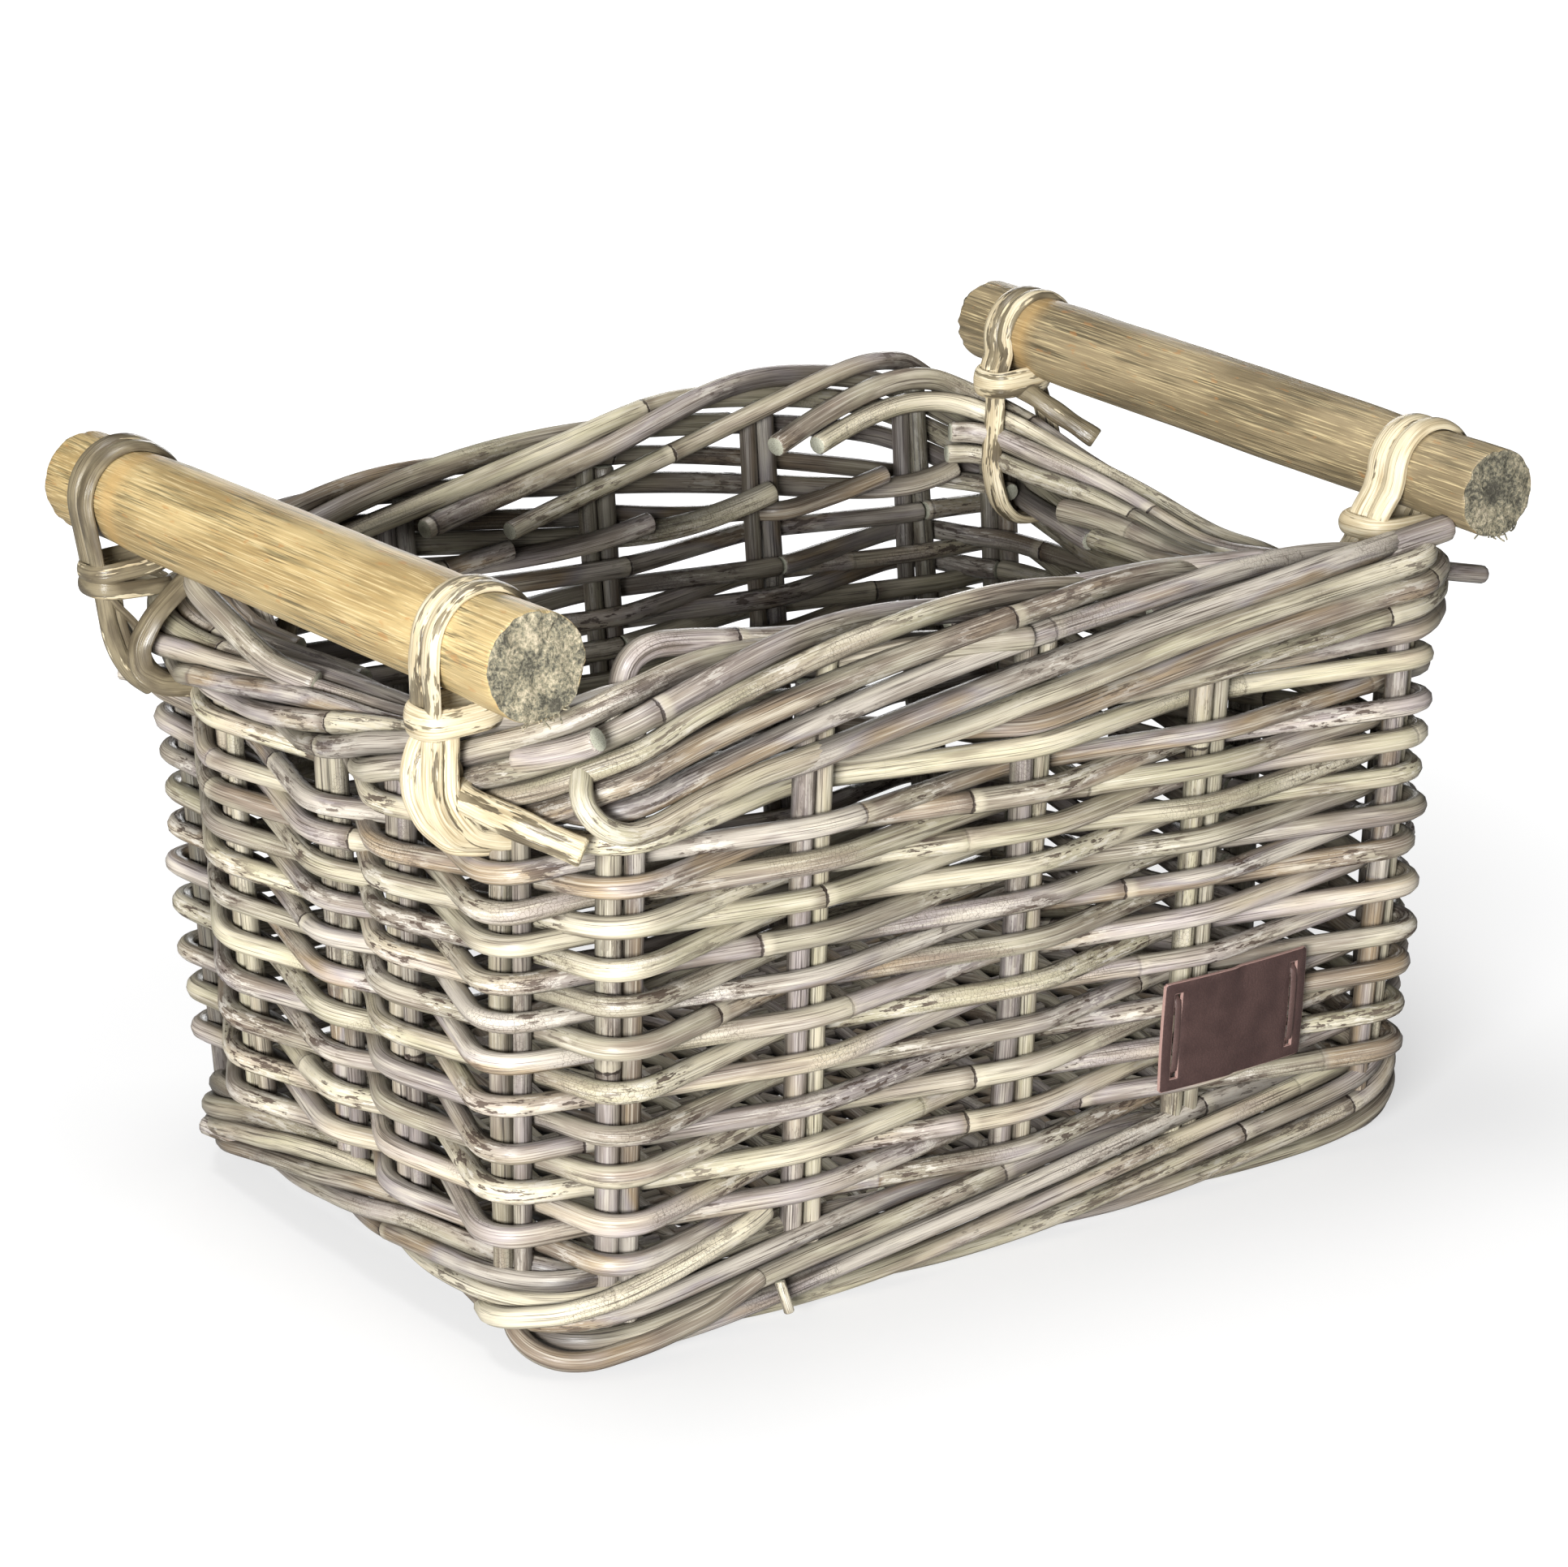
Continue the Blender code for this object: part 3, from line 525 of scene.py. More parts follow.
    # Cut ends: pale with grey-green pores.
    pores = node(tree, "ShaderNodeTexVoronoi", {}, {"Vector": grain, "Scale": 2600.0}).outputs["Distance"]
    end = mix(tree, fade(tree, pores, 0.10, 0.42), linear(120, 116, 98), linear(206, 206, 186))
    # Painted shade also darkens the cut ends where they face away or lie deep.
    end = times(tree, end, fade(tree, painted_shade_openness, *PAINTED_SHADE_RANGE, 0.6, 1.0))
    skin = mix(tree, fade(tree, cut, 0.45, 0.55), skin, end)
    rough = total(tree, fade(tree, cloud, 0.3, 0.7, 0.30, 0.46), product(tree, peel, 0.3),
                  product(tree, lines, 0.2), product(tree, cut, 0.3))
    height = total(tree, product(tree, fine, 0.00022), product(tree, peel, -0.00016),
                   product(tree, cloud, 0.0005), product(tree, dark_ring, -0.00025))
    return give(tree, result, skin, rough, height)


RATTAN = rattan_group()


def grouped_material(name, shared, inputs, wiring, coat=0.0, placed_by_object=False):
    """A Principled material whose colour, roughness and relief come from a shared group. The wiring names
    the stored layer that each of the group's inputs reads."""
    made = bpy.data.materials.new(name)
    made.use_nodes = True
    tree = made.node_tree
    shader = tree.nodes["Principled BSDF"]
    effect = node(tree, "ShaderNodeGroup", {"node_tree": shared}, inputs)
    for label, (source, output) in wiring.items():
        layer = node(tree, "ShaderNodeAttribute", {"attribute_name": source})
        tree.links.new(layer.outputs[output], effect.inputs[label])
    if placed_by_object:
        tree.links.new(node(tree, "ShaderNodeTexCoord").outputs["Object"], effect.inputs["Place"])
    relief = node(tree, "ShaderNodeBump", {}, {"Strength": 1.0, "Distance": 1.0,
                                               "Height": effect.outputs["Height"]})
    tree.links.new(effect.outputs["Colour"], shader.inputs["Base Color"])
    tree.links.new(effect.outputs["Roughness"], shader.inputs["Roughness"])
    tree.links.new(relief.outputs["Normal"], shader.inputs["Normal"])
    shader.inputs["Coat Weight"].default_value = coat
    shader.inputs["Coat Roughness"].default_value = 0.16
    return made


STEM_WIRING = {"Grain": ("grain", "Vector"), "Tint": ("tint", "Vector")}
# The rods' stored openness drives the painted shade in the rattan finish.
ROD_WIRING = {**STEM_WIRING, "Ring": ("ring", "Fac"), "Painted shade openness": ("painted_shade_openness", "Fac")}


def rattan(name, darker, streaks, peel, coat):
    """A rattan material from four driving values."""
    return grouped_material(name, RATTAN, {"Darker": darker, "Streaks": streaks, "Peel": peel}, ROD_WIRING,
                            coat=coat)


weaver_finish = rattan("weaver_rattan", 0.0, 0.70, 0.9, 0.12)
stake_finish = rattan("stake_rattan", 0.26, 0.85, 0.4, 0.0)
border_finish = rattan("border_rattan", 0.14, 0.80, 0.7, 0.08)
base_finish = rattan("base_rattan", 0.55, 0.8, 0.4, 0.0)
print("finishes made")

# %% [markdown]
# ## Weaving
# Each row passes outside one pair of stakes and inside the next, and the next row does the opposite. A row
# is worked from two rods that meet end to end on the inside, where a stake hides the place. The rods lean
# on the stakes, so two path points sit beside every pair and the bends between them come out soft.

# %% weaving
ROW_HEIGHTS = np.array((33.4, 40.4, 46.6, 54.0, 60.7, 67.3, 74.2, 81.5, 88.2, 95.4, 101.8, 108.4, 114.6,
                        120.7, 126.5, 132.2, 138.0, 143.6, 149.2, 154.5, 164.0)) / 1000
WEAVER_RADIUS = 0.0034
WEAVER_SIZES = (0.92, 1.04)
WEAVER_REACH = 0.0052
PAIR_RADII = (0.0036, 0.0030)
PAIR_OFFSETS = (-0.0033, 0.0035)
SIDE_OFFSET = 0.0031 + WEAVER_RADIUS + 0.0003
CORNER_SLACK = 0.0036
CORNER_SHARE = 0.75
LEVEL_WANDER = 0.00035
SLOPE_WANDER = 0.04
# How much painted shade a weaver gets where it passes inside the stakes.
WEAVER_BURIED = 0.35


def stake_points(height):
    """Plan points of all pairs at a height, and the wall's direction at each, halfway to both neighbours."""
    points = STAKES * half_sizes(height)
    steps = np.roll(points, -1, 0) - points
    steps = steps / np.linalg.norm(steps, axis=1)[:, None]
    along = steps + np.roll(steps, 1, 0)
    return points, along / np.linalg.norm(along, axis=1)[:, None]


def row_path(row):
    """Closed path of one row: for each pair two points, along the wall by the reach either way and out or in
    by the offset, at the row's height, which rises or dips on the short sides."""
    points, along = stake_points(RIM_FOOT / 2)
    share = row / (len(ROW_HEIGHTS) - 1)
    level = ROW_HEIGHTS[row] + (WEAVE_RISE * (1 - share) - WEAVE_DIP * share) * squeeze(points)
    level = level + rng.normal(0, LEVEL_WANDER, STAKE_COUNT)
    points = STAKES * half_sizes(level)
    out = np.column_stack((along[:, 1], -along[:, 0]))
    side = np.where((np.arange(STAKE_COUNT) + row) % 2 == 0, SIDE_OFFSET, -SIDE_OFFSET)
    at_corner = (np.abs(STAKES) > CORNER_SHARE).all(1)
    side = side + np.where(at_corner & (side > 0), rng.uniform(0.0, CORNER_SLACK, STAKE_COUNT), 0.0)
    path = []
    for reach in (-WEAVER_REACH, WEAVER_REACH):
        flat = points + along * reach + out * side[:, None]
        path.append(np.column_stack((flat, level + reach * rng.normal(0, SLOPE_WANDER, STAKE_COUNT))))
    return np.stack(path, axis=1).reshape(-1, 3)


def split_row(path, shares):
    """A closed path cut into open ones at shares of its length, with a gap of one step at each cut."""
    count = len(path)
    cuts = (np.sort(np.asarray(shares)) % 1 * count).astype(int)
    doubled = np.vstack((path, path, path))
    return [doubled[a:b] for a, b in zip(cuts, np.append(cuts[1:], cuts[0] + count))]


row_paths = []


def add_weaving():
    """All rows. Their paths are kept, because the rim's rods settle on the top ones."""
    face_count = 0
    for row in range(len(ROW_HEIGHTS)):
        path = smooth_path(row_path(row), rounds=7, closed=True)
        row_paths.append(path)
        inside = [i for i in range(STAKE_COUNT) if (i + row) % 2 == 1]
        joins = rng.choice(inside, 2, replace=False)
        levels = STAKES[joins] * half_sizes(ROW_HEIGHTS[row])
        shares = [np.linalg.norm(path[:, :2] - xy, axis=1).argmin() / len(path) for xy in levels]
        # Painted shade: weavers are darker on their inner sides and darker still where they pass inside the
        # stakes.
        rods = [rod(part, WEAVER_RADIUS * rng.uniform(*WEAVER_SIZES),
                    buried=WEAVER_BURIED * (1 - standing_out(part) / SIDE_OFFSET))
                for part in split_row(path, shares)]
        number = f"{row + 1:02d}"
        made = piece("woven_row_" + number, "weave_row_" + number, rods, weaver_finish)
        face_count += len(made.data.polygons)
    print(face_count, "faces of weaving")


add_weaving()

# %% [markdown]
# ## Rim
# The rim is a rope of twenty-four rods. Each starts inside the wall between two pairs of stakes, comes out
# under the rim, climbs its outer side, goes over the top and ends on the inner side, where its cut face
# shows. Eight or nine rods lie side by side round the rim at any place. Their places are points on a slot
# outline, tall where the rim is high and wide where it is low.

# %% the slot outline and the rim's height
RIM_RISE = 0.0476
RIM_FRONT = (0.706, 0.932, 1.000, 1.000, 0.968, 0.896, 0.819, 0.774, 0.660)
RIM_BACK = (0.457, 0.751, 0.887, 0.919, 0.968, 1.068, 1.136, 1.158, 0.819)
RIM_LEFT = (0.751, 0.520, 0.330, 0.208, 0.253, 0.267, 0.194, 0.230, 0.366)
RIM_RIGHT = (0.706, 0.411, 0.208, 0.095, 0.117, 0.321, 0.434, 0.570, 0.751)
RIM_ROD_RADIUS = 0.0038
RIM_RODS = 24
RIM_LEAST_DEPTH = 0.0064
RIM_CROWDING = 0.88
RIM_INWARD_SHARE = 0.85
RIM_END_LIFT = 0.007
RIM_END_SHARE = 0.09
RIM_SPAN = 7.5
RIM_START = -0.10
RIM_STOPS = (0.70, 0.84)
RIM_BETWEEN_STAKES = 0.25
RIM_DRIFT = 0.014
RIM_SIZES = (0.86, 1.06)
RIM_PARTS = 6
RIM_ROD_POINTS = 170
RIM_BURIED = 0.15


def slot_point(half_depth, half_height, share):
    """Points (outward, upward) on slot outlines by their share of the length, from the middle of the
    underside, up the outer side, over the top and down the inner side. The ends are half circles."""
    radius = np.minimum(half_depth, half_height)
    flat = half_height - radius
    level = half_depth - radius
    bend = radius * np.pi / 2
    runs = np.stack((level, bend, 2 * flat, bend, 2 * level, bend, 2 * flat, bend, level))
    ends = np.cumsum(runs, axis=0)
    travelled = (share % 1.0) * ends[-1]
    left = travelled - np.concatenate((np.zeros((1, len(share))), ends[:-1]))
    angle = left / radius
    sin, cos = np.sin(angle), np.cos(angle)
    outs = (left[0], level + radius * sin[1], half_depth, level + radius * cos[3], level - left[4],
            -level - radius * sin[5], -half_depth, -level - radius * cos[7], left[8] - level)
    ups = (-half_height, -flat - radius * cos[1], left[2] - flat, flat + radius * sin[3], half_height,
           flat + radius * cos[5], flat - left[6], -flat - radius * sin[7], -half_height)
    inside = [travelled <= end for end in ends[:-1]]
    inside.append(np.ones(len(share), bool))
    blank = np.zeros(len(share))
    return tuple(np.select(inside, [value + blank for value in values]) for values in (outs, ups))


def rim_section(xy):
    """Middle height, half height and half depth of the rim's rod centres. The slot outline has to be as long
    as nearly nine rods side by side, so where the rim is low its depth grows."""
    steps = np.linspace(-1, 1, 9)
    half = half_sizes(RIM_FOOT)
    along, across = xy[:, 0] / half[0], xy[:, 1] / half[1]
    front, back = (np.interp(along, steps, shares) for shares in (RIM_FRONT, RIM_BACK))
    left, right_side = (np.interp(across, steps, shares) for shares in (RIM_LEFT, RIM_RIGHT))
    lengthwise = np.where(xy[:, 1] < 0, front, back)
    crosswise = np.where(xy[:, 0] < 0, left, right_side)
    short = np.clip((np.abs(xy[:, 0]) - (HALF[0] - CORNER)) / CORNER, 0, 1)
    top = RIM_FOOT + RIM_RISE * (lengthwise * (1 - short) + crosswise * short) - RIM_ROD_RADIUS
    low = RIM_FOOT - WEAVE_DIP * squeeze(xy) + RIM_ROD_RADIUS
    half_height = np.maximum((top - low) / 2, RIM_ROD_RADIUS)
    needed = RIM_CROWDING * RIM_SPAN * RIM_RODS / STAKE_COUNT * 2 * RIM_ROD_RADIUS
    tall = (needed - 4 * half_height) / (2 * np.pi - 4)
    wide = (needed - (2 * np.pi - 4) * half_height) / 4
    half_depth = np.maximum(np.where(tall <= half_height, tall, wide), RIM_LEAST_DEPTH)
    return top - half_height, half_height, half_depth


ODD_RIM_RODS = (
    (3.9, 0.46, 0.6, ((-168, -110, 187), (-166.5, -121, 190.5), (-162.5, -130, 194),
        (-159.6, -136, 197.3))),
    (3.4, 0.30, 0.6, ((-150, -113, 187), (-157.4, -124, 182.4), (-162, -131, 178.2),
        (-158.4, -134, 171.8), (-149.5, -135, 167.4), (-139.6, -134, 168), (-124.8, -132, 171.5),
        (-102.4, -130, 175.1), (-74.7, -127, 176.9), (-50, -121, 178))),
    (3.7, 0.42, 0.5, ((-133.7, -108, 165), (-133.7, -108, 188.4), (-135.1, -110, 200.8),
        (-133.4, -111, 209.6), (-126.5, -112, 212.8), (-110.4, -112, 210.9), (-88.6, -112, 207),
        (-67.7, -114, 205.4))),
    (2.8, 0.42, 0.2, ((150, -118, 190), (168, -116, 185), (184.5, -112, 180.5))),
    (4.3, 0.52, 0.1, ((44, -121, 192.5), (82.2, -122.5, 195.5), (121.7, -123.5, 198.5),
        (160.4, -121, 201.3))),
    (3.9, 0.02, 0.8, ((-24, -112, 202), (10.5, -118, 206.1), (46, -119, 205.9), (84.1, -122.5, 203.9))),
    (3.5, 0.56, 0.5, ((-72, -121, 199), (-49.6, -128, 201.3), (-10, -131.5, 198.6))),
    (4.3, 0.44, 0.4, ((-162, 84, 203), (-175.4, 62.6, 199.7), (-175.4, 52.3, 196.1), (-175, 41.5, 192.6),
        (-173.3, 32.7, 187.5), (-170, 24, 182.5), (-163, 14, 179))),
    (2.6, 0.78, 0.0, ((-164, 88, 162), (-172, 95.2, 162.5), (-180, 106.7, 163.9))))
travel_loop = np.concatenate([stake_travel + turn * WALL_LENGTH for turn in range(4)])
index_loop = np.arange(len(travel_loop))


def rope_facing(path, section):
    """Direction from the middle of a rope to each point of its rods, evened by its width and height.
    The painted shade is lightest where a rod faces this way.
    """
    middle, half_height, half_depth = section(path[:, :2])
    inward = RIM_INWARD_SHARE * np.maximum(half_depth - RIM_LEAST_DEPTH, 0)
    level = outward_at(path) * ((standing_out(path) + inward) / half_depth)[:, None]
    return level + np.outer((path[:, 2] - middle) / half_height, (0, 0, 1.0))


def rope_points(shares, begin, span, section, reference):
    """Points of one rod in a rope: its share of the outline tells how many pairs it has passed since its
    first one, which gives its place on the wall, and the section there gives its place in the rope."""
    travel = np.interp(begin + shares * span, index_loop, travel_loop)
    flat, out = wall_at(travel, np.full(len(shares), reference))
    return flat, out, section(flat)


def rim_rod(number):
    """Path of one rim rod, from the inner lower side round the outline to the inner side again. It passes
    under the rim a quarter of the way between two pairs of stakes, so it clears both."""
    shares = np.linspace(RIM_START, rng.uniform(*RIM_STOPS), 44)
    begin = STAKE_COUNT + number * STAKE_COUNT / RIM_RODS + RIM_BETWEEN_STAKES
    flat, out, section = rope_points(shares, begin, RIM_SPAN, rim_section, RIM_FOOT)
    middle, half_height, half_depth = section
    drift = np.interp(shares, np.linspace(-0.2, 1, 6), rng.normal(0, RIM_DRIFT, 6))
    away, up = slot_point(half_depth, half_height, shares + drift)
    away = away - RIM_INWARD_SHARE * (half_depth - RIM_LEAST_DEPTH)
    away = away - RIM_END_LIFT * np.clip((shares - shares[-1]) / RIM_END_SHARE + 1, 0, 1) ** 2
    height = middle + up
    flat = flat * half_sizes(height) / half_sizes(RIM_FOOT) + out * away[:, None]
    return smooth_path(np.column_stack((flat, height)), rounds=10)


# %% [markdown]
# Rods laid this close run into each other where the rim changes shape. Real rods push each other aside, so
# the script lets them do that: every point that is nearer to another rod than their radii allow moves away
# from it, and the moves are shared along the rod to keep it smooth. That makes the overlaps smaller, but in
# the tightest places they stay.

# %% rods push each other aside
BLOCK = 500
WATCHED_DISTANCE = 0.0115
LOOK_AGAIN = 8
PUSH_SHARE = 0.9
EVENING = 0.22


def close_pairs(points, owner, others, reach):
    """Index pairs of points nearer than the reach, except pairs on one rod. It goes through blocks of points
    to keep the table of distances small."""
    found = []
    for start in range(0, len(points), BLOCK):
        block = points[start:start + BLOCK]
        apart = ((block[:, None] - others[None]) ** 2).sum(2)
        found.append(np.argwhere(apart < reach ** 2) + (start, 0))
    pairs = np.concatenate(found)
    keep = pairs[:, 1] >= len(points)
    same = owner[pairs[:, 0]] == owner[np.minimum(pairs[:, 1], len(points) - 1)]
    return pairs[keep | ~same]


def same_count(paths, count):
    """Paths stacked into one array, each with the same number of points at even steps of its own."""
    lengths = [np.linalg.norm(np.diff(path, axis=0), axis=1).sum() for path in paths]
    return np.stack([even_steps(path, length / (count - 1))[:count] for path, length in zip(paths, lengths)])


def settle(paths, radius, fixed, fixed_radius, rounds=48):
    """Paths (rods by points) moved away from each other and from the fixed points, a little in each round. An
    overlap stays where many rods meet, up to nearly half a rod in the rim. The deepest one is printed."""
    shape = paths.shape
    points = paths.reshape(-1, 3).copy()
    owner = np.repeat(np.arange(shape[0]), shape[1])
    sizes = np.concatenate((np.repeat(radius, shape[1]), fixed_radius))
    for turn in range(rounds):
        everything = np.concatenate((points, fixed))
        if turn % LOOK_AGAIN == 0:
            pairs = close_pairs(points, owner, everything, WATCHED_DISTANCE)
        gap = points[pairs[:, 0]] - everything[pairs[:, 1]]
        apart = np.linalg.norm(gap, axis=1) + 1e-9
        overlap = np.maximum(sizes[pairs[:, 0]] + sizes[pairs[:, 1]] - apart, 0)
        share = np.where(pairs[:, 1] < len(points), 0.5, 1.0)
        push = gap / apart[:, None] * (overlap * share)[:, None]
        count = np.bincount(pairs[:, 0], overlap > 0, len(points))
        move = np.column_stack([np.bincount(pairs[:, 0], push[:, k], len(points)) for k in range(3)])
        move = (move / np.maximum(count, 1)[:, None]).reshape(shape)
        for _ in range(3):
            move[:, 1:-1] = (move[:, :-2] + 2 * move[:, 1:-1] + move[:, 2:]) / 4
        path = points.reshape(shape) + PUSH_SHARE * move
        path[:, 1:-1] += EVENING * (path[:, :-2] + path[:, 2:] - 2 * path[:, 1:-1])
        points = path.reshape(-1, 3)
    print("deepest overlap left", round(float(overlap.max()) * 1000, 2), "mm")
    return points.reshape(shape)


def add_rope(word, parts, even, radii, section, buried, odd, swell=0.05):
    """A rope as a few objects, each with every so many of its rods and of the listed odd rods."""
    for part in range(parts):
        rods = []
        for k in range(part, len(even), parts):
            path = smooth_path(even[k], rounds=1)
            # Painted shade: the rope's rods are darker where they face into the rope and a little darker all
            # round.
            rods.append(rod(path, radii[k], sides=12, swell=swell, facing=rope_facing(path, section),
                            buried=buried))
        rods += odd_rods(odd[part::parts])
        piece(f"{word}_rope_{part + 1}", f"{word}_rod_{part + 1}", rods, border_finish)


# %% [markdown]
# ## Stakes
# The stakes stand in pairs, a thick rod on the left and a thinner one on the right. They go up into the
# rim and end between its rods.

# %% stakes and rim
STAKE_TOP_SHARES = (0.60, 0.88)
LOW_RIM = 0.010
STAKE_START = 0.009
STAKE_START_WANDER = 0.004
STAKE_WAVES = (20, 45)
STAKE_WAVE_HEIGHT = 0.0004
STAKE_SIZES = (0.96, 1.03)
STAKE_START_RISE = 0.012
STAKE_BURIED = 0.30
STAKE_END_POINTS = 14
STAKE_END_RADIUS = 0.0026


def stake_rod(index, place):
    """Path of one upright rod, from inside the foot up into the rim."""
    middle, half_height, _ = rim_section(STAKES[index:index + 1] * half_sizes(RIM_FOOT))
    share = rng.uniform(*STAKE_TOP_SHARES) if half_height[0] > LOW_RIM else 0.0
    top = middle[0] - half_height[0] + 2 * half_height[0] * share
    rise = STAKE_START_RISE * squeeze(STAKES[index:index + 1] * HALF)[0]
    foot = STAKE_START + rise + rng.uniform(0, STAKE_START_WANDER)
    heights = np.linspace(foot, top, 60)
    along = stake_points(RIM_FOOT / 2)[1][index]
    flat = STAKES[index] * half_sizes(heights) + along * PAIR_OFFSETS[place]
    path = np.column_stack((flat, heights))
    waves = np.sin(heights[:, None] * rng.uniform(*STAKE_WAVES) + rng.uniform(0, 6, 2))
    path[:, :2] += waves * STAKE_WAVE_HEIGHT
    return path


def add_stakes_and_rim():
    """All stakes, then the rim's rods, settled against the stakes' tops and the two top rows."""
    stakes = [[stake_rod(index, place) for place in (0, 1)] for index in range(STAKE_COUNT)]
    for index, pair in enumerate(stakes):
        # Painted shade: stakes are darker away from their outer side and a little darker all round.
        rods = [rod(path, PAIR_RADII[place] * rng.uniform(*STAKE_SIZES), sides=12, buried=STAKE_BURIED)
                for place, path in enumerate(pair)]
        number = f"{index + 1:02d}"
        piece("stakes_" + number, "stake_pair_" + number, rods, stake_finish)
    even = same_count([rim_rod(number) for number in range(RIM_RODS)], RIM_ROD_POINTS)
    radii = RIM_ROD_RADIUS * rng.uniform(*RIM_SIZES, RIM_RODS)
    uprights = np.concatenate([path[-STAKE_END_POINTS:] for pair in stakes for path in pair])
    rows = np.concatenate(row_paths[-2:])
    fixed_radius = np.repeat((STAKE_END_RADIUS, WEAVER_RADIUS), (len(uprights), len(rows)))
    even = settle(even, radii, np.concatenate((uprights, rows)), fixed_radius)
    add_rope("rim", RIM_PARTS, even, radii, rim_section, RIM_BURIED, ODD_RIM_RODS)
    return even


rim_paths = add_stakes_and_rim()

# %% [markdown]
# ## Foot
# The foot is a rope like the rim, with long flat strokes. It stands on the floor and lifts a little under
# the short sides.

# %% foot
FOOT_HEIGHT = 0.0300
FOOT_RADIUS = 0.0033
FOOT_HALF_DEPTH = 0.0046
FOOT_LIFTED_HALF = (0.0060, 0.0052)
FOOT_SPAN = 6.4
FOOT_ENDS = (-0.06, 0.90)
FOOT_SIZES = (0.90, 1.04)
FOOT_RODS = 22
FOOT_PARTS = 3
FOOT_ROD_POINTS = 130
FOOT_BURIED = 0.32
ABOVE_FLOOR = 1.06


def foot_section(xy):
    """Middle height, half height and half depth of the foot's rod centres."""
    lift = squeeze(xy)
    high = FOOT_HEIGHT + WEAVE_RISE * lift - FOOT_RADIUS
    half_height = (FOOT_HEIGHT - 2 * FOOT_RADIUS) / 2 * (1 - lift) + FOOT_LIFTED_HALF[1] * lift
    half_depth = FOOT_HALF_DEPTH * (1 - lift) + FOOT_LIFTED_HALF[0] * lift
    return high - half_height, half_height, half_depth


def foot_rod(number):
    """Path of one rod of the foot, a third of the way round the basket."""
    shares = np.linspace(*FOOT_ENDS, 60)
    begin = STAKE_COUNT + number * STAKE_COUNT / FOOT_RODS
    flat, out, section = rope_points(shares, begin, FOOT_SPAN, foot_section, FOOT_HEIGHT / 2)
    middle, half_height, half_depth = section
    away, up = slot_point(half_depth, half_height, shares)
    return smooth_path(np.column_stack((flat + out * away[:, None], middle + up)), rounds=4)


ODD_FOOT_RODS = (
    (3.3, 0.56, 0.3, ((-163, 40, 18), (-165.5, 64, 17), (-167.5, 91, 15))),
    (3.2, 0.05, 0.9, ((-165, -74, 11), (-170.5, -86, 14), (-170.5, -98, 17), (-161, -111.5, 20.5),
        (-147.3, -117.5, 24), (-128.5, -118.5, 28), (-100, -116, 34), (-92, -112, 35))),
    (3.2, 0.50, 0.3, ((-158, -82, 15), (-164, -88, 13), (-167.5, -95, 10.5), (-166, -102, 7),
        (-161, -108.5, 4.6), (-153, -113, 4.2), (-135, -116, 6.5), (-115, -116.5, 10), (-95, -113, 15))),
    (1.6, 0.00, 1.0, ((-90.5, -117.5, 14), (-90, -119, 10), (-88.8, -119.5, 5))))


def add_foot():
    """The foot's rods, settled against the lowest row and kept above the floor."""
    radii = FOOT_RADIUS * rng.uniform(*FOOT_SIZES, FOOT_RODS)
    even = same_count([foot_rod(number) for number in range(FOOT_RODS)], FOOT_ROD_POINTS)
    even = settle(even, radii, row_paths[0], np.full(len(row_paths[0]), WEAVER_RADIUS))
    even[..., 2] = np.maximum(even[..., 2], radii[:, None] * ABOVE_FLOOR)
    add_rope("foot", FOOT_PARTS, even, radii, foot_section, FOOT_BURIED, ODD_FOOT_RODS, swell=0.03)
    print(FOOT_RODS, "rods in the foot")


add_foot()

# %% [markdown]
# ## Base
# The base is a mat inside the foot: double sticks run lengthwise, and thin rods are woven across them, over
# one stick and under the next.

# %% base
BASE_LEVEL = 0.0200
BASE_STICKS = 7
BASE_PITCH = 0.0062
BASE_RADIUS = 0.0027
BASE_MARGIN = 0.0125
BASE_STICK_MARGIN = 0.010
BASE_WEAVE_MARGIN = 0.004
BASE_CORNER = 0.012
BASE_STICK_SIZE = 0.95
BASE_SIZES = (0.9, 1.0)
BASE_SWING = 1.05
BASE_FACING = np.array((0.0, 0.0, 1.0))


def base_rod(points, step, rounds, radius):
    """One rod of the mat, whose open side is the upper one: painted shade darkens it away from its top."""
    path = smooth_path(points, step, rounds)
    return rod(path, radius, sides=8, facing=np.tile(BASE_FACING, (len(path), 1)))


def add_base():
    """The mat: pairs of sticks first, then the rods that swing over and under them."""
    half = half_sizes(BASE_LEVEL) - BASE_MARGIN
    lines = np.linspace(-half[1] + BASE_STICK_MARGIN, half[1] - BASE_STICK_MARGIN, BASE_STICKS)
    rods = []
    for line in lines:
        for offset in (-BASE_RADIUS, BASE_RADIUS):
            ends = np.array(((-half[0], line + offset, BASE_LEVEL), (half[0], line + offset, BASE_LEVEL)))
            rods.append(base_rod(ends, 0.01, 0, BASE_RADIUS * BASE_STICK_SIZE))
    edge = half[0] - BASE_WEAVE_MARGIN
    for number, x in enumerate(np.linspace(-edge, edge, int(2 * edge / BASE_PITCH))):
        swing = np.where((np.arange(BASE_STICKS) + number) % 2 == 0, 1, -1) * BASE_RADIUS * BASE_SWING
        reach = half[1] - max(abs(x) - half[0] + BASE_CORNER, 0)
        ys = np.concatenate(((-reach,), lines, (reach,)))
        ups = np.concatenate(((-swing[0] * 0.4,), swing, (-swing[-1] * 0.4,)))
        points = np.column_stack((np.full(len(ys), x), ys, BASE_LEVEL + ups))
        rods.append(base_rod(points, 0.0035, 4, BASE_RADIUS * rng.uniform(*BASE_SIZES)))
    piece("woven_base", "base_weave", rods, base_finish)
    print(len(rods), "rods in the base")


add_base()

# %% [markdown]
# ## Poles
# Each handle is a thick rattan pole with its bark shaved off, so its long fibres show as fine olive
# streaks. The sawn ends are rough and mottled. A pole is one grid: rings that open from the middle of one
# end, run along the pole and close again in the middle of the other end.

